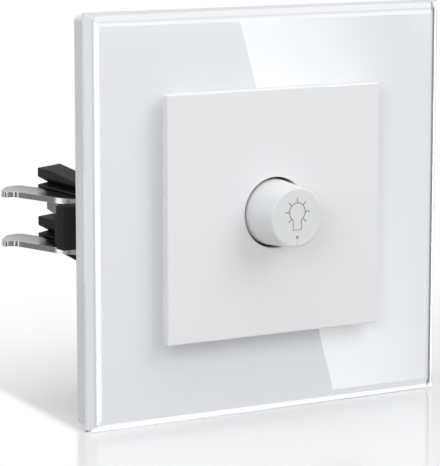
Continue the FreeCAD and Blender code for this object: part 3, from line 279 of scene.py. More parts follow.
def sheet_steel(name, colour, gloss, along=(60.0, 900.0, 900.0), lines=0.05, painted_shade=False):
    """Plated sheet: fine rolling lines, clouded plating and a few darker specks. The last argument turns on
    painted shade: the faces across Z are painted darker, lighter near the claw's tip than towards its root,
    and are rougher than the sheared edges."""
    paint = Paint(name)
    drawn = paint.noise(1.0, 4.0, 0.65, paint.stretched(along))
    clouds = paint.noise(4 * MM, 4.0, 0.6)
    specks = paint.noise(0.5 * MM, 2.0) > 0.72
    tint = paint.blend(clouds, scaled(colour, 0.86), colour)
    tint = paint.blend(specks * 0.25, tint, scaled(colour, 0.55))
    rough = paint.spread(drawn, gloss - lines, gloss + lines) + clouds * 0.06
    if painted_shade:
        # Painted shade: the faces across Z are painted darker, most towards the claw's root.
        flat = abs(paint.facing()[2]) > 0.92
        tip, root = 44 * MM, 37 * MM
        inward = paint.ramp(abs(paint.axes()[0]), tip, root)
        sheet = paint.blend(inward, scaled(colour, 0.58), scaled(colour, 0.18))
        tint = paint.blend(flat, tint, sheet)
        rough = rough + flat * 0.08
    return paint.principled(tint, rough, 1.0, paint.bump(drawn, 0.003 * MM))


def turned_metal(name, colour, gloss):
    """Turned or headed metal with fine cloudiness and handling marks."""
    paint = Paint(name)
    clouds = paint.noise(1.2 * MM, 4.0, 0.6)
    marks = paint.noise(0.15 * MM, 2.0)
    tint = paint.blend(clouds, scaled(colour, 0.78), colour)
    rough = paint.spread(clouds, gloss - 0.05, gloss + 0.08)
    return paint.principled(tint, rough, 1.0, paint.bump(marks, 0.002 * MM))


def clear_glass(tint):
    """Float glass with polished edges and the faintest smears."""
    paint = Paint("clear float glass")
    smears = paint.noise(6 * MM, 4.0, 0.6)
    rough = paint.spread(smears, 0.0, 0.012)
    return paint.principled(tint, rough, Transmission_Weight=1.0, IOR=1.52)


def enamel(colour):
    """White enamel fired on the back of the glass, with painted dark lines near its left and right sides,
    fainter at the left: painted shade where the glass's edges look dark.
    """
    paint = Paint("white enamel")
    clouds = paint.noise(15 * MM, 3.0)
    tint = paint.blend(clouds, scaled(colour, 0.985), colour)
    x, y, z = paint.axes()
    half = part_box("glass_panel")[1].x
    inside = abs(z) < half - 1 * MM
    fade = 0.14 * MM
    # Painted shade: dark lines in the enamel's colour near the left and right sides.
    for place, width, share in ((half - 1.17 * MM, 0.20 * MM, 0.72), (2.3 * MM - half, 0.12 * MM, 0.22)):
        line = paint.ramp(abs(x - place), width, width + fade, share, 0.0)
        tint = paint.blend(line * inside, tint, (0.06, 0.06, 0.065))
    return paint.principled(tint, paint.spread(clouds, 0.45, 0.55))


def groove_paint():
    """Grey paint that fills the engraved lines on the knob."""
    paint = Paint("grey groove paint")
    specks = paint.noise(0.1 * MM, 2.0)
    tint = paint.blend(specks, (0.29, 0.29, 0.295), (0.36, 0.36, 0.365))
    return paint.principled(tint, paint.spread(specks, 0.55, 0.7))


def laminate():
    """Green board with copper traces under its lacquer."""
    paint = Paint("green board laminate")
    x, y, z = paint.axes()
    lanes_per_metre, half_gap = 480.0, 0.36
    lanes = abs((x * lanes_per_metre).fraction() - 0.5) > half_gap
    weave = paint.noise(0.4 * MM, 2.0)
    islands = paint.noise(5 * MM, 1.0) > 0.5
    green = paint.blend(weave, (0.02, 0.12, 0.05), (0.03, 0.17, 0.07))
    tint = paint.blend(lanes * islands, green, (0.06, 0.28, 0.11))
    return paint.principled(tint, paint.spread(weave, 0.3, 0.42), Coat_Weight=0.4, Coat_Roughness=0.2)


def carbon_track():
    paint = Paint("carbon track")
    x, y, z = paint.axes()
    rings_per_metre = 2500.0
    ring = ((x * x + z * z) ** 0.5 * rings_per_metre).fraction()
    tint = paint.blend(ring, (0.015, 0.014, 0.013), (0.05, 0.045, 0.04))
    return paint.principled(tint, paint.spread(ring, 0.4, 0.6))


def wound_copper():
    paint = Paint("lacquered copper wire")
    clouds = paint.noise(1.5 * MM, 3.0)
    tint = paint.blend(clouds, (0.62, 0.22, 0.09), (0.80, 0.36, 0.16))
    return paint.principled(tint, paint.spread(clouds, 0.22, 0.34), 1.0, Coat_Weight=0.5, Coat_Roughness=0.15)


def dress(node, material):
    """Gives a CAD piece its finish."""
    piece = frame["nodes"][node]
    piece.data.materials.clear()
    piece.data.materials.append(material)


# Mesh helpers


def body_of(node):
    return frame["nodes"][node]["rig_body"]


def clean_copy(node):
    """The CAD piece's mesh with its triangles joined and its flat faces merged."""
    work = bmesh.new()
    work.from_mesh(frame["nodes"][node].data)
    bmesh.ops.remove_doubles(work, verts=work.verts, dist=0.001 * MM)
    bmesh.ops.dissolve_limit(work, angle_limit=math.radians(0.6), verts=work.verts, edges=work.edges)
    return work


def linked(name, data):
    """A new object in the scene, at the origin."""
    piece = bpy.data.objects.new(name, data)
    bpy.context.scene.collection.objects.link(piece)
    return piece


def new_piece(name, work, *materials):
    """Turns a bmesh into an object at the origin."""
    mesh = bpy.data.meshes.new(name)
    work.to_mesh(mesh)
    work.free()
    piece = linked(name, mesh)
    for material in materials:
        mesh.materials.append(material)
    return piece


def apply_modifiers(piece):
    """Bakes the piece's modifiers into a plain mesh."""
    bpy.context.view_layer.update()
    evaluated = piece.evaluated_get(bpy.context.evaluated_depsgraph_get())
    mesh = bpy.data.meshes.new_from_object(evaluated)
    piece.modifiers.clear()
    old, piece.data = piece.data, mesh
    bpy.data.meshes.remove(old)
    return piece


def volume_of(piece):
    work = bmesh.new()
    work.from_mesh(piece.data)
    amount = work.calc_volume()
    work.free()
    return amount


def carve(piece, cutter, crossing=False):
    """Cuts the cutter from the piece. Crossing says that parts of the cutter run through each other."""
    before = volume_of(piece)
    cut = piece.modifiers.new("cut", "BOOLEAN")
    cut.operation = "DIFFERENCE"
    cut.solver = "EXACT"
    cut.use_self = crossing
    cut.object = cutter
    cut.material_mode = "TRANSFER"
    apply_modifiers(piece)
    bpy.data.objects.remove(cutter)
    share, largest = 1.0 - volume_of(piece) / before, 0.05
    if not 0.0 < share < largest:
        raise RuntimeError(f"{piece.name}: the cut took {share:.1%} of the piece")
    return piece


def soften(piece, width, segments=2):
    """Rounds every hard edge a little and keeps the flat faces flat."""
    bevel = piece.modifiers.new("edges", "BEVEL")
    bevel.width = width
    bevel.segments = segments
    bevel.limit_method = "ANGLE"
    bevel.angle_limit = math.radians(34.0)
    bevel.miter_outer = "MITER_ARC"
    bevel.use_clamp_overlap = True
    apply_modifiers(piece)
    smooth(piece)
    return piece


def smooth(piece, angle=44.0):
    """Smooth shading that stays crisp at real corners."""
    piece.data.shade_smooth()
    piece.data.set_sharp_from_angle(angle=math.radians(angle))
    weigh = piece.modifiers.new("normals", "WEIGHTED_NORMAL")
    weigh.keep_sharp = True
    weigh.weight = 60
    apply_modifiers(piece)
    return piece


def finish(piece, node, *others):
    """Rides the piece on its node's body in the node's place."""
    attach(piece, body_of(node))
    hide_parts(node, *others)
    return piece


def softened(node, material, width):
    """A CAD piece again, with its edges rounded."""
    piece = new_piece(node + "_finished", clean_copy(node), material)
    return finish(soften(piece, width), node)


def ribbon(work, points, width, low, high, closed=False):
    """A band of the width along points of X and Z, from one level of Y to another."""
    count = len(points)
    rings = []
    for number, (x, z) in enumerate(points):
        before = points[number - 1] if closed or number else points[number]
        after = points[(number + 1) % count] if closed or number + 1 < count else points[number]
        along = Vector((after[0] - before[0], after[1] - before[1])).normalized()
        across = Vector((-along.y, along.x)) * width / 2
        rings.append([work.verts.new((x + side * across.x, level, z + side * across.y))
                      for side, level in ((1, low), (-1, low), (-1, high), (1, high))])
    for number in range(count if closed else count - 1):
        here, there = rings[number], rings[(number + 1) % count]
        for side in range(4):
            work.faces.new((here[side], here[(side + 1) % 4], there[(side + 1) % 4], there[side]))
    if not closed:
        work.faces.new(rings[0])
        work.faces.new(rings[-1])


# Settings


def length_setting(name, about, millimetres):
    return FloatProperty(name=name, description=about, default=millimetres * MM, unit="LENGTH")


def level_setting(name, about, level):
    return FloatProperty(name=name, description=about, default=level)


def power_setting(name, about, watts):
    return FloatProperty(name=name, description=about, default=watts, unit="POWER")


def angle_setting(name, about, degrees):
    return FloatProperty(name=name, description=about, default=math.radians(degrees), subtype="ANGLE")


def colour_setting(name, about, colour):
    return FloatVectorProperty(name=name, description=about, default=colour, subtype="COLOR")


class StudioSettings(bpy.types.PropertyGroup):
    """Lamps, backdrop and camera."""

    key_power: power_setting("Key Lamp", "Power of the large lamp at the upper right", 4.4)
    top_power: power_setting("Top Lamp", "Power of the lamp overhead", 3.8)
    side_power: power_setting("Side Lamp", "Power of the lamp at the left", 2.4)
    fill_strength: level_setting("Fill", "Brightness of the room around the object", 0.62)
    flag_level: level_setting("Dark Flag", "Brightness of the dark cards at the left", 0.21)
    tip_level: level_setting("Tip Card", "Brightness of the card that the claw tips mirror", 0.85)
    strip_level: level_setting("Bright Strip", "Brightness of the strip that lights the claw's elbow", 1.19)
    edge_level: level_setting("Edge Panels", "Brightness of the panels that light the glass edges", 7.0)
    streak_strength: level_setting("Streak", "Brightness of the panel mirrored in the glass", 4.9)
    lens: level_setting("Lens", "Focal length for a 36 mm frame", 2469.0 / 466.0 * 36.0)
    distance: length_setting("Distance", "Camera to its target", 513.4)
    azimuth: angle_setting("Azimuth", "Camera to the left of the middle", 30.42)
    elevation: angle_setting("Elevation", "Camera above the target", 8.97)
    target: FloatVectorProperty(name="Target", description="Point that the camera looks at",
                                default=(-12.39 * MM, GLASS_FRONT, -3.64 * MM), subtype="XYZ")


class FrontSettings(bpy.types.PropertyGroup):
    """Glass, frame and centre plate."""

    glass_tint: colour_setting("Glass", "Tint of the glass", (0.985, 0.995, 0.99))
    enamel_colour: colour_setting("Enamel", "Enamel behind the glass", (0.815, 0.83, 0.86))
    frame_colour: colour_setting("Frame", "Base frame", (0.80, 0.805, 0.81))
    plate_colour: colour_setting("Plate", "Centre plate", (0.825, 0.83, 0.84))
    edge: length_setting("Edge", "Rounding of moulded edges", 0.18)
    glass_edge: length_setting("Glass Edge", "Polish round the glass edges", 0.22)
    glass_roll: length_setting("Glass Roll", "Rounding where the bevel meets the face", 1.6)


class KnobSettings(bpy.types.PropertyGroup):
    """Knob and the pictogram engraved on it."""

    colour: colour_setting("Knob", "Knob", (0.76, 0.77, 0.78))
    lamp_height: length_setting("Bulb Height", "Middle of the bulb above the knob's middle", 1.16)
    lamp_radius: length_setting("Bulb", "Radius of the bulb", 1.92)
    neck_width: length_setting("Neck", "Width of the bulb's neck", 2.0)
    neck_foot: length_setting("Neck Foot", "Foot of the neck below the knob's middle", 2.6)
    ray_start: length_setting("Ray Start", "Rays begin this far from the bulb's middle", 1.95)
    ray_end: length_setting("Ray End", "Rays end this far from the bulb's middle", 2.98)
    line: length_setting("Line", "Width of the engraved lines", 0.22)
    depth: length_setting("Depth", "Depth of the engraved lines", 0.10)


class MetalSettings(bpy.types.PropertyGroup):
    """Claws, yoke, screws and springs."""

    claw_edge: length_setting("Claw Edge", "Roll of the claws' sheared edges", 0.30)
    claw_sheet: length_setting("Claw Sheet", "Thickness of the claw's prongs", 1.2)
    tab_front: length_setting("Tab Front", "Depth of the tab under the upper prong, at its front", 2.35)
    tab_back: length_setting("Tab Back", "Depth of the same tab at its back", 1.6)
    claw_colour: colour_setting("Claw", "Plated claw steel", (0.88, 0.88, 0.88))
    yoke_colour: colour_setting("Yoke", "Plated yoke steel", (0.70, 0.71, 0.72))
    screw_colour: colour_setting("Screw", "Plated screws", (0.74, 0.73, 0.70))
    edge: length_setting("Edge", "Rounding of cut sheet edges", 0.16)
    thread_pitch: length_setting("Thread Pitch", "Claw screw thread", 0.8)


class RearSettings(bpy.types.PropertyGroup):
    """Housing, rear cover and the black shoes."""

    black: colour_setting("Black", "Black moulded plastic", (0.020, 0.020, 0.023))
    edge: length_setting("Edge", "Rounding of moulded edges", 0.3)
    lip_drop: length_setting("Lip Drop", "Reach of the shoe's lips below a prong's top", 0.8)
    slot_count: IntProperty(name="Vent Slots", description="Vent slots in the rear cover", default=7, min=1)
    slot_width: length_setting("Slot Width", "Width of a vent slot", 1.0)
    slot_length: length_setting("Slot Length", "Length of a vent slot", 9.0)


class DimmerSettings(bpy.types.PropertyGroup):
    """All settings of the dimmer."""

    studio: PointerProperty(type=StudioSettings)
    front: PointerProperty(type=FrontSettings)
    knob: PointerProperty(type=KnobSettings)
    metal: PointerProperty(type=MetalSettings)
    rear: PointerProperty(type=RearSettings)


# Stage


def plain_glow(name, level):
    """A card that mirrors as one even brightness with faint cloudiness."""
    paint = Paint(name)
    cloud_size = 0.3
    tint = paint.blend(paint.noise(cloud_size, 2.0), (level * 0.97,) * 3, (level,) * 3)
    return paint.surface(paint.node("ShaderNodeEmission", None, Color=tint, Strength=1.0))


def fading_glow(name, level, axis, *fades):
    """A bright card that fades to the room's white. A fade is where it is bright and where it is dim."""
    paint = Paint(name)
    place = paint.axes()["XYZ".index(axis)]
    room = 1.0 / level
    tint = (1.0, 1.0, 1.0)
    for bright, dim in fades:
        tint = paint.blend(paint.ramp(place, bright, dim, soft=True), tint, (room, room, room))
    return paint.surface(paint.node("ShaderNodeEmission", None, Color=tint, Strength=level))


def card(name, corners, material):
    """A panel that only glossy rays see. It is no part of the model."""
    mesh = bpy.data.meshes.new(name)
    mesh.from_pydata(corners, [], [(0, 1, 2, 3)])
    mesh.materials.append(material)
    panel = linked(name, mesh)
    for rays in ("camera", "diffuse", "shadow", "transmission"):
        setattr(panel, "visible_" + rays, False)
    return panel


def mirror_card(name, first, last, material, foot=-35.0, head=18.0, half_x=None):
    """A card that faces the object, between two angles round it, counted in degrees from +X towards +Y,
    and two heights in degrees. Half X takes the place of the width that the angles give."""
    distance = 0.9
    rise = math.radians(foot + head) / 2
    half_x = half_x or distance * math.cos(rise) * math.tan(math.radians(last - first) / 2)
    half_y = distance * math.tan(math.radians(head - foot) / 2)
    corners = [(-half_x, -half_y, 0), (half_x, -half_y, 0), (half_x, half_y, 0), (-half_x, half_y, 0)]
    panel = card(name, corners, material)
    middle = math.radians(first + last) / 2
    away = Vector((math.cos(middle) * math.cos(rise), math.sin(middle) * math.cos(rise), math.sin(rise)))
    panel.location = away * distance
    panel.rotation_euler = away.to_track_quat("Z", "Y").to_euler()


def near_card(name, outer, inner, level):
    """A small upright card behind the frame's left side, for the hook of the left claw to mirror."""
    back, low, high = 12 * MM, -15 * MM, 8 * MM
    corners = [(outer, back, low), (inner, back, low), (inner, back, high), (outer, back, high)]
    card(name, corners, plain_glow(name.replace("_", " "), level))


def streak_card(strength):
    """The panel that the glass mirrors. It dims to the room's white away from its sharp edge, which is its
    local X = 0."""
    centre = Vector((0.4999, -0.7541, -0.1270))
    picture_left = Vector((-0.8387, -0.5446, 0.0))
    picture_up = Vector((0.0776, -0.1196, 0.9898))
    top, foot = Vector((0.0544, 0.1100)), Vector((-0.0043, -0.1155))
    edge = (top - foot).normalized()
    along = (picture_left * edge.x + picture_up * edge.y).normalized()
    across = (picture_left * edge.y - picture_up * edge.x).normalized()
    middle = (top + foot) / 2
    width, half = 0.095, 0.16
    corners = [(-width, -half, 0), (0, -half, 0), (0, half, 0), (-width, half, 0)]
    panel = card("mirrored_panel", corners, fading_glow("mirrored panel", strength, "X", (0.0, -width)))
    turn = Matrix((across, along, across.cross(along))).transposed().to_4x4()
    panel.matrix_world = Matrix.Translation(centre + picture_left * middle.x + picture_up * middle.y) @ turn


def lamp(name, place, aim, size, power):
    """A rectangular lamp at a place, aimed at a point."""
    data = bpy.data.lights.new(name, "AREA")
    data.shape = "RECTANGLE"
    data.size, data.size_y = size
    data.energy = power
    piece = linked(name, data)
    piece.location = place
    piece.rotation_euler = (Vector(aim) - Vector(place)).to_track_quat("-Z", "Y").to_euler()


def studio_world(fill):
    """White to the camera and to mirrors, dimmer as a light."""
    world = bpy.data.worlds.new("studio")
    world.use_nodes = True
    bpy.context.scene.world = world
    sky = Tree(world.node_tree)
    camera_ray = sky.node("ShaderNodeLightPath", output="Is Camera Ray")
    rays = camera_ray.socket.node.outputs
    mirrored = Wire(sky, rays["Is Glossy Ray"]).largest(Wire(sky, rays["Is Transmission Ray"]))
    seen = camera_ray.largest(mirrored)
    background = sky.node("ShaderNodeBackground", None, Strength=sky.ramp(seen, 0.0, 1.0, fill, 1.0))
    sky.node("ShaderNodeOutputWorld", None, background)


def floor_finish():
    """White table with a slight gloss, lighter behind the frame: painted light that lifts the shadow there.
    To the camera it turns plain white away from the object, and left of a straight line from the frame's near
    corner."""
    paint = Paint("white table")
    clouds = paint.noise(60 * MM, 2.0)
    x, y, z = paint.axes()
    tint = paint.blend(clouds, (0.80, 0.80, 0.805), (0.82, 0.82, 0.82))
    # Painted light: the table is lighter behind the frame, lifting the object's shadow there.
    tint = paint.blend(paint.ramp(y, -12 * MM, 10 * MM), tint, (0.97, 0.97, 0.97))
    centre_x, centre_y, toned_reach, white_reach = 30 * MM, -30 * MM, 80 * MM, 180 * MM
    right, back = x - centre_x, y - centre_y
    far = paint.ramp((right * right + back * back) ** 0.5, toned_reach, white_reach, soft=True)
    lean, normal_x, normal_y = 0.075, 0.889, -0.459
    in_front = paint.ramp(x - y * lean, TABLE_EDGE - 3 * MM, TABLE_EDGE, 1.0, 0.0)
    across = (x - TABLE_EDGE) * normal_x + y * normal_y
    far = far.largest(in_front * paint.ramp(across, -0.8 * MM, 0.0, 1.0, 0.0))
    seen = paint.node("ShaderNodeLightPath", output=0)
    table = paint.node("ShaderNodeBsdfPrincipled", None,
                       Base_Color=tint, Roughness=paint.spread(clouds, 0.08, 0.12), IOR=1.45)
    white = paint.node("ShaderNodeEmission", None, Color=(1.0, 1.0, 1.0, 1.0), Strength=1.0)
    return paint.surface(paint.node("ShaderNodeMixShader", None, far * seen, table, white))


class DIMMER_OT_stage(bpy.types.Operator):
    """Sets up the table, the lamps, the mirrored cards and the camera"""

    bl_idname = "dimmer.stage"
    bl_label = "Studio"

    def execute(self, context):
        settings = context.scene.dimmer.studio
        context.scene.view_settings.view_transform = "Standard"
        studio_world(settings.fill_strength)
        work = bmesh.new()
        bmesh.ops.create_grid(work, x_segments=2, y_segments=2, size=3.0)
        bmesh.ops.translate(work, verts=work.verts, vec=(0, 0, GLASS_FOOT - 0.05 * MM))
        table = new_piece("table", work, floor_finish())
        table.visible_glossy = False
        table.visible_diffuse = False
        lamp("key", (0.55, -0.75, 0.75), (0, 0, 0), (0.7, 0.7), settings.key_power)
        lamp("top", (-0.1, 0.0, 0.95), (0, 0, -0.02), (0.9, 0.7), settings.top_power)
        lamp("side", (-0.66, -0.60, 0.35), (0, 0, 0), (0.5, 0.5), settings.side_power)
        self.cards(settings)
        self.camera(context, settings)
        return {"FINISHED"}

    def cards(self, settings):
        """The cards that the glass and the claws mirror."""
        streak_card(settings.streak_strength)
        mirror_card("back_flag", 108.0, 157.0, plain_glow("back flag", settings.flag_level))
        mirror_card("bright_strip", 159.0, 171.0, plain_glow("bright strip", settings.strip_level))
        mirror_card("side_flag", 175.0, 199.0, plain_glow("side flag", settings.flag_level * 1.4))
        mirror_card("front_flag", 199.0, 241.0, plain_glow("front flag", settings.flag_level * 0.3))
        near_card("hook_flag", HOOK_CARD_EDGE, -30 * MM, settings.flag_level * 0.8)
        near_card("tip_light", -60 * MM, HOOK_CARD_EDGE, settings.tip_level)
        level = settings.edge_level
        mirror_card("edge_panel_left", 254.0, 294.0,
                    fading_glow("left edge panel", level, "X", (-0.04, 0.28)))
        mirror_card("edge_panel_right", 352.0, 368.0, plain_glow("right edge panel", level))
        mirror_card("right_flag", 324.0, 351.0, plain_glow("right flag", 0.05))
        mirror_card("edge_panel_top", 284.0, 316.0,
                    fading_glow("top edge panel", level * 0.7, "Y", (-0.17, -0.27), (-0.02, 0.26)),
                    foot=-3.6, head=31.0)
        mirror_card("edge_panel_foot", 284.0, 316.0, plain_glow("foot edge panel", level * 0.7),
                    foot=-112.0, head=-50.0, half_x=0.5)

    def camera(self, context, settings):
        """The camera at the photograph's viewing angle."""
        camera = linked("camera", bpy.data.cameras.new("camera"))
        camera.data.sensor_width = 36.0
        camera.data.lens = settings.lens
        camera.data.clip_start = 0.01
        side, lift = settings.azimuth, settings.elevation
        back = Vector((-math.sin(side) * math.cos(lift), -math.cos(side) * math.cos(lift), math.sin(lift)))
        camera.location = Vector(settings.target) + back * settings.distance
        camera.rotation_euler = back.to_track_quat("Z", "Y").to_euler()
        context.scene.camera = camera


# Front


class DIMMER_OT_front(bpy.types.Operator):
    """Finishes the glass panel, its enamel, the base frame and the centre plate"""

    bl_idname = "dimmer.front"
    bl_label = "Glass and Plate"

    def execute(self, context):
        settings = context.scene.dimmer.front
        glass = self.rolled_glass(settings)
        glass.visible_shadow = False
        glass.visible_diffuse = False
        self.fuse_enamel(enamel(settings.enamel_colour))
        frame_finish = moulded("white frame plastic", settings.frame_colour, 0.32, patch=0.01)
        softened("base_frame", frame_finish, settings.edge * 2)
        plate_finish = moulded("matte plate plastic", settings.plate_colour, 0.55,
                               depth=0.003 * MM, patch=0.008)
        softened("centre_plate", plate_finish, settings.edge)
        return {"FINISHED"}

    def rolled_glass(self, settings):
        """The panel with finely polished edges, and a wide roll where its bevel meets the face."""
        work = clean_copy("glass_panel")
        weights = work.edges.layers.float.new("bevel_weight_edge")
        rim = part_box("glass_panel")[1].x - 5 * MM
        flat_angle = math.radians(25.0)
        for edge in work.edges:
            if edge.calc_face_angle(0.0) < flat_angle:
                continue
            on_face = all(abs(corner.co.y - GLASS_FRONT) < 0.01 * MM for corner in edge.verts)
            outside = all(max(abs(corner.co.x), abs(corner.co.z)) > rim for corner in edge.verts)
            edge[weights] = 1.0 if on_face and outside else settings.glass_edge / settings.glass_roll
        glass = new_piece("glass_panel_finished", work, clear_glass(settings.glass_tint))
        roll = glass.modifiers.new("edges", "BEVEL")
        roll.width = settings.glass_roll
        roll.segments = 12
        roll.limit_method = "WEIGHT"
        roll.use_clamp_overlap = False
        apply_modifiers(glass)
        return finish(smooth(glass), "glass_panel")

    def fuse_enamel(self, material):
        """Sinks the enamel a hair into the glass, as it is fired on, so that no faces coincide."""
        work = clean_copy("glass_enamel")
        front = min(corner.co.y for corner in work.verts)
        slack, sink = 0.05 * MM, 0.03 * MM
        for corner in work.verts:
            if corner.co.y < front + slack:
                corner.co.y -= sink
        finish(new_piece("enamel_fired", work, material), "glass_enamel")


# Knob


def bulb_outline(settings):
    """Points round the bulb and down its neck, closed at the foot."""
    radius, half_neck = settings.lamp_radius, settings.neck_width / 2
    start = -math.acos(half_neck / radius)
    end = math.pi - start
    steps = 40
    points = []
    for step in range(steps + 1):
        angle = start + (end - start) * step / steps
        points.append((radius * math.cos(angle), settings.lamp_height + radius * math.sin(angle)))
    foot = -settings.neck_foot
    return points + [(-half_neck, foot), (half_neck, foot)]


def pictogram_cutter(settings, material):
    """The pictogram's lines as solid bands, to be cut from the knob's face."""
    low, high = KNOB_FRONT - settings.depth, KNOB_FRONT + settings.depth
    work = bmesh.new()
    ribbon(work, bulb_outline(settings), settings.line, low, high, closed=True)
    for step in range(-1, 6):
        angle = math.radians(45.0 * step)
        ends = [(reach * math.cos(angle), settings.lamp_height + reach * math.sin(angle))
                for reach in (settings.ray_start, settings.ray_end)]
        ribbon(work, ends, settings.line, low, high)
    bmesh.ops.recalc_face_normals(work, faces=work.faces)
    return new_piece("pictogram_cutter", work, material)


class DIMMER_OT_knob(bpy.types.Operator):
    """Engraves the pictogram on the knob and paints its lines"""

    bl_idname = "dimmer.knob"
    bl_label = "Knob"

    def execute(self, context):
        settings = context.scene.dimmer.knob
        satin = moulded("satin knob plastic", settings.colour, 0.46,
                        depth=0.0025 * MM, patch=0.008, Specular_IOR_Level=0.3)
        lines = groove_paint()
        knob = new_piece("knob_engraved", clean_copy("knob"), satin, lines)
        carve(knob, pictogram_cutter(settings, lines), crossing=True)
        self.paint_index(knob)
        smooth(knob, 30.0)
        finish(knob, "knob")
        return {"FINISHED"}

    def paint_index(self, knob):
        """Paints the floor and wall of the index dot, and leaves the groove under it bare."""
        work = bmesh.new()
        work.from_mesh(knob.data)
        low, high = KNOB_FRONT + 0.02 * MM, KNOB_FRONT + 0.2 * MM
        half_width, top, groove_top = 0.36 * MM, -3.6 * MM, -4.42 * MM
        parts = {}
        for face in work.faces:
            middle = face.calc_center_median()
            if abs(middle.x) < half_width and low < middle.y < high and middle.z < top:
                parts.update(dict.fromkeys((face, *face.edges, *face.verts)))
        cut = bmesh.ops.bisect_plane(work, geom=list(parts), dist=1e-7,
                                     plane_co=(0, 0, groove_top), plane_no=(0, 0, 1))
        for face in cut["geom"]:
            if isinstance(face, bmesh.types.BMFace) and face.calc_center_median().z > groove_top:
                face.material_index = 1
        work.to_mesh(knob.data)
        work.free()


# Metal pieces


def join(piece, other):
    """Adds the other object's mesh to the piece."""
    work = bmesh.new()
    work.from_mesh(piece.data)
    work.from_mesh(other.data)
    work.to_mesh(piece.data)
    work.free()
    bpy.data.objects.remove(other)
    return piece


def helix(name, material, centre, radius, wire, pitch, turns, steps):
    """A round wire wound along +Y. The centre is that of its first turn."""
    build = Build(name, {"Turns": turns, "Radius": radius, "Pitch": pitch, "Wire": wire})
    size, index = build.inputs, build.node("GeometryNodeInputIndex")
    angle = index * (2 * math.pi / steps)
    place = build.point(size["Radius"] * angle.cosine() + centre[0],
                        index * size["Pitch"] / float(steps) + centre[1],
                        size["Radius"] * angle.sine() + centre[2])
    return build.piece(name, build.wire(size["Turns"] * float(steps), place, size["Wire"]), material)


def threaded_screw(node, material, settings):
    """A claw screw with its shank thinned to the thread's root and the thread wound on it."""
    low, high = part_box(node)
    axis_x, axis_z = (low.x + high.x) / 2, (low.z + high.z) / 2
    shank, ridge, slack = 1.5 * MM, 0.13 * MM, 0.02 * MM
    work = clean_copy(node)
    for corner in work.verts:
        arm = Vector((corner.co.x - axis_x, corner.co.z - axis_z))
        if abs(arm.length - shank) < slack:
            arm *= (shank - ridge) / arm.length
            corner.co.x, corner.co.z = axis_x + arm.x, axis_z + arm.y
    screw = soften(new_piece(node + "_finished", work, material), settings.edge * 0.6)
    start, end, pitch = low.y + 2.2 * MM, high.y - 0.9 * MM, settings.thread_pitch
    ridges = helix(node + "_thread", material, (axis_x, start, axis_z), shank - ridge, ridge,
                   pitch, (end - start) / pitch, steps=16)
    return finish(smooth(join(screw, ridges)), node)


TAB_PLAN = ((38.45, 14.6), (39.1, 14.6), (39.6, 16.2), (39.6, 18.8), (38.45, 18.8))
LIP_PLAN = ((31.6, 23.6), (34.98, 30.3), (34.98, 32.45), (31.6, 32.45))


def sided(plan, side):
    """A plan in millimetres, X outwards and Y backwards, on one side of the dimmer."""
    sign = -1 if side == "left" else 1
    return [(sign * x * MM, y * MM) for x, y in plan]


def add_prism(work, foot, top):
    """Adds a closed solid between two rings of corners, one above the other."""
    rings = [[work.verts.new(corner) for corner in ring] for ring in (foot, top)]
    faces = [work.faces.new((rings[0][i], rings[0][i - 1], rings[1][i - 1], rings[1][i]))
             for i in range(len(foot))]
    faces += [work.faces.new(ring) for ring in rings]
    bmesh.ops.recalc_face_normals(work, faces=faces)


class DIMMER_OT_claws(bpy.types.Operator):
    """Finishes the claws, their black shoes, pins, screws and nuts"""

    bl_idname = "dimmer.claws"
    bl_label = "Claws"

    def execute(self, context):
        metal, rear = context.scene.dimmer.metal, context.scene.dimmer.rear
        # The claw steel carries painted shade on the prongs' flat faces.
        claw_finish = sheet_steel("plated claw steel", metal.claw_colour, 0.13, lines=0.03, painted_shade=True)
        # The shoe's black is a lighter copy of the housing black, painted light for faces in the frame's
        # shade; its faces that look upward get painted shade.
        shoe_finish = moulded("black shoe plastic", scaled(rear.black, 1.45), 0.55,
                              patch=0.1, painted_top_shade=0.5, Specular_IOR_Level=0.12)
        screw_finish = turned_metal("plated screw steel", metal.screw_colour, 0.24)
        for side in ("left", "right"):
            self.claw(side, claw_finish, metal)
            self.shoe(side, shoe_finish, metal, rear)
            softened(f"claw_pin_{side}", screw_finish, metal.edge)
            softened(f"claw_nut_{side}", screw_finish, metal.edge)
            threaded_screw(f"claw_screw_{side}", screw_finish, metal)
        return {"FINISHED"}

    def claw(self, side, material, metal):
        """The claw, with the tab that hangs from its upper prong behind the shoe's core."""
        plan = sided(TAB_PLAN, side)
        front, back = plan[0][1], plan[-1][1]
        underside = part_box(f"claw_{side}")[1].z - metal.claw_sheet
        slope = (metal.tab_back - metal.tab_front) / (back - front)
        work = clean_copy(f"claw_{side}")
        add_prism(work, [(x, y, underside - metal.tab_front - (y - front) * slope) for x, y in plan],
                  [(x, y, underside + 0.4 * MM) for x, y in plan])
        piece = new_piece(f"claw_{side}_finished", work, material)
        finish(soften(piece, metal.claw_edge, 4), f"claw_{side}")

    def shoe(self, side, material, metal, rear):
        """The shoe, with the lips that reach down behind each prong's back edge."""
        low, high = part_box(f"claw_{side}")
        plan = sided(LIP_PLAN, side)
        work = clean_copy(f"claw_shoe_{side}")
        for prong_top in (high.z, low.z + metal.claw_sheet):
            foot, top = prong_top - rear.lip_drop, prong_top + 0.3 * MM
            add_prism(work, [(x, y, foot) for x, y in plan], [(x, y, top) for x, y in plan])
        piece = new_piece(f"claw_shoe_{side}_finished", work, material)
        finish(soften(piece, rear.edge * 0.6), f"claw_shoe_{side}")


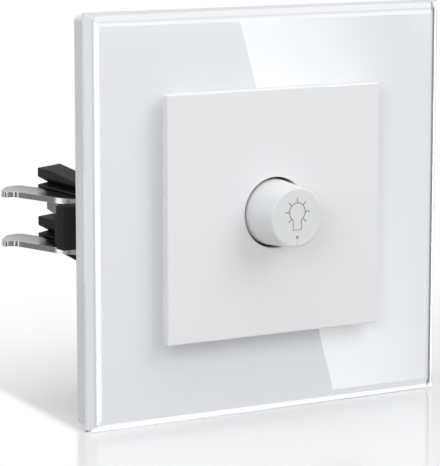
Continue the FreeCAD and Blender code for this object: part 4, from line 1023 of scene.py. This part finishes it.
class DIMMER_OT_yoke(bpy.types.Operator):
    """Finishes the yoke, its rivets and the clamping nut and washer"""

    bl_idname = "dimmer.yoke"
    bl_label = "Yoke"

    def execute(self, context):
        metal = context.scene.dimmer.metal
        yoke_finish = sheet_steel("plated yoke steel", metal.yoke_colour, 0.30, (900.0, 900.0, 60.0))
        screw_finish = turned_metal("bright rivet steel", metal.screw_colour, 0.26)
        spring_finish = turned_metal("spring steel", (0.48, 0.47, 0.46), 0.32)
        nickel = turned_metal("nickelled brass", (0.74, 0.70, 0.58), 0.22)
        softened("yoke", yoke_finish, metal.edge)
        softened("housing_rivets", screw_finish, metal.edge)
        softened("cover_screws", screw_finish, metal.edge)
        softened("retaining_nut", nickel, metal.edge * 1.5)
        dress("bushing", nickel)
        for node in ("spring_washer", "knob_spring_clip", "shaft_circlip", "fuse_clips"):
            dress(node, spring_finish)
        for node in ("fuse_caps", "terminal_screws"):
            dress(node, screw_finish)
        return {"FINISHED"}


# Rear


class DIMMER_OT_rear(bpy.types.Operator):
    """Finishes the housing and the rear cover"""

    bl_idname = "dimmer.rear"
    bl_label = "Housing"

    def execute(self, context):
        rear = context.scene.dimmer.rear
        black = moulded("black housing plastic", rear.black, 0.46,
                        grain=0.3 * MM, depth=0.006 * MM, patch=0.12)
        softened("housing", black, rear.edge)
        cover = new_piece("rear_cover_finished", clean_copy("rear_cover"), black)
        carve(cover, self.slot_cutter(rear, black))
        finish(soften(cover, rear.edge * 0.7), "rear_cover")
        return {"FINISHED"}

    def slot_cutter(self, rear, material):
        """A row of bars over the cover's upper middle, as deep as the blind slots."""
        back, middle_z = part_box("rear_cover")[1].y, 14.0 * MM
        build = Build("vent_slots", {"Count": rear.slot_count, "Width": rear.slot_width,
                                     "Length": rear.slot_length, "Pitch": rear.slot_width * 2.2,
                                     "Depth": 1.0 * MM})
        size = build.inputs
        bar = build.node("GeometryNodeMeshCube", None,
                         build.point(size["Width"], size["Depth"] * 2.0, size["Length"]))
        line = build.node("GeometryNodeMeshLine", None, Count=size["Count"])
        along = build.node("GeometryNodeInputIndex") - (size["Count"] - 1.0) / 2.0
        row = build.node("GeometryNodeSetPosition", None, Geometry=line,
                         Position=build.point(along * size["Pitch"], back, middle_z))
        bars = build.node("GeometryNodeInstanceOnPoints", None, Points=row, Instance=bar)
        return build.piece("vent_slots", bars, material)


class DIMMER_OT_inside(bpy.types.Operator):
    """Finishes the control, the circuit board and everything on it"""

    bl_idname = "dimmer.inside"
    bl_label = "Inside"

    def execute(self, context):
        dark = moulded("dark blue case plastic", (0.02, 0.03, 0.07), 0.4, patch=0.08)
        ivory = moulded("ivory rotor plastic", (0.62, 0.58, 0.47), 0.4, patch=0.03)
        bronze = turned_metal("spring bronze", (0.78, 0.58, 0.32), 0.28)
        brass = turned_metal("bare brass", (0.80, 0.60, 0.26), 0.24)
        resin = moulded("moulded resin", (0.03, 0.03, 0.032), 0.5, grain=0.15 * MM, patch=0.15)
        finishes = {
            dark: ("control_shaft", "pot_case", "push_switch_case"),
            ivory: ("wiper_rotor", "switch_plunger"),
            bronze: ("wiper_contact", "pot_terminals", "contact_bridge", "fixed_contacts", "transistor_legs"),
            brass: ("terminal_clamps",),
            resin: ("power_transistor", "control_chip"),
            carbon_track(): ("resistor_track",),
            laminate(): ("circuit_board",),
            moulded("pressed ferrite", (0.05, 0.048, 0.047), 0.62, patch=0.2): ("choke_core",),
            sheet_steel("bare aluminium", (0.82, 0.82, 0.83), 0.34): ("heat_sink",),
            moulded("red dipped resin", (0.35, 0.035, 0.02), 0.22, patch=0.1): ("film_capacitor",),
            moulded("blue capacitor sleeve", (0.02, 0.035, 0.16), 0.28, patch=0.06): ("smoothing_capacitor",),
            moulded("white fuse ceramic", (0.74, 0.72, 0.66), 0.3, patch=0.03): ("fuse_tube",),
            moulded("light grey block plastic", (0.55, 0.55, 0.53), 0.45, patch=0.03): ("terminal_block",),
        }
        for material, nodes in finishes.items():
            for node in nodes:
                dress(node, material)
        finish(self.choke_turns(wound_copper()), "choke_winding")
        self.spring_coil(turned_metal("return spring wire", (0.50, 0.49, 0.48), 0.28))
        return {"FINISHED"}

    def choke_turns(self, material):
        """Turns of wire round the ring core, open at the top where the leads leave."""
        low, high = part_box("choke_winding")
        core_low, core_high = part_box("choke_core")
        wire = (core_low.x - low.x) / 2 * 0.96
        outer, bore = (core_high.x - core_low.x) / 2, 2.2 * MM
        middle = (low + high) / 2
        turns, steps = 22, 24
        build = Build("choke_turns", {
            "Wire": wire, "Ring": (outer + bore) / 2, "Across": (outer - bore) / 2 + wire,
            "Along": (core_high.y - core_low.y) / 2 + wire, "Opening": math.radians(62.0)})
        size, index = build.inputs, build.node("GeometryNodeInputIndex")
        share = index / float(turns * steps)
        around = size["Opening"] / 2.0 + share * (2 * math.pi - size["Opening"]) + math.pi / 2
        loop = index * (2 * math.pi / steps)
        reach = size["Ring"] + size["Across"] * loop.cosine()
        place = build.point(reach * around.cosine() + middle.x,
                            size["Along"] * loop.sine() + middle.y,
                            reach * around.sine() + middle.z)
        path = build.wire(turns * steps, place, size["Wire"])
        return smooth(build.piece("choke_turns", path, material), 60.0)

    def spring_coil(self, material):
        """The return spring's coil, wound over the length of the spring's CAD piece."""
        low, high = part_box("return_spring")
        length, wire, turns, steps = high.y - low.y, 0.12 * MM, 3, 32
        pitch, last_point = (length - 2 * wire) / turns, 1 / steps
        coil = helix("return_coil", material, (0, low.y + wire, 0), (high.x - low.x) / 2 - wire, wire,
                     pitch, turns + last_point, steps)
        finish(smooth(coil, 60.0), "return_spring")
        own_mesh(coil)


# Panel


class DIMMER_PT_panel(bpy.types.Panel):
    """Lists the steps in order"""

    bl_idname = "DIMMER_PT_panel"
    bl_label = "Rotary Dimmer"
    bl_space_type = "VIEW_3D"
    bl_region_type = "UI"
    bl_category = "Dimmer"

    def draw(self, context):
        for step in STEPS:
            self.layout.operator(step.bl_idname)


SETTINGS = (StudioSettings, FrontSettings, KnobSettings, MetalSettings, RearSettings, DimmerSettings)
STEPS = (DIMMER_OT_stage, DIMMER_OT_front, DIMMER_OT_knob, DIMMER_OT_claws,
         DIMMER_OT_yoke, DIMMER_OT_rear, DIMMER_OT_inside)


def register():
    for group in (*SETTINGS, *STEPS, DIMMER_PT_panel):
        bpy.utils.register_class(group)
    bpy.types.Scene.dimmer = PointerProperty(type=DimmerSettings)


def unregister():
    del bpy.types.Scene.dimmer
    for group in reversed((*SETTINGS, *STEPS, DIMMER_PT_panel)):
        bpy.utils.unregister_class(group)


def main():
    register()
    bpy.ops.dimmer.stage()
    bpy.ops.dimmer.front()
    bpy.ops.dimmer.knob()
    bpy.ops.dimmer.claws()
    bpy.ops.dimmer.yoke()
    bpy.ops.dimmer.rear()
    bpy.ops.dimmer.inside()


if __name__ == "__main__":
    main()
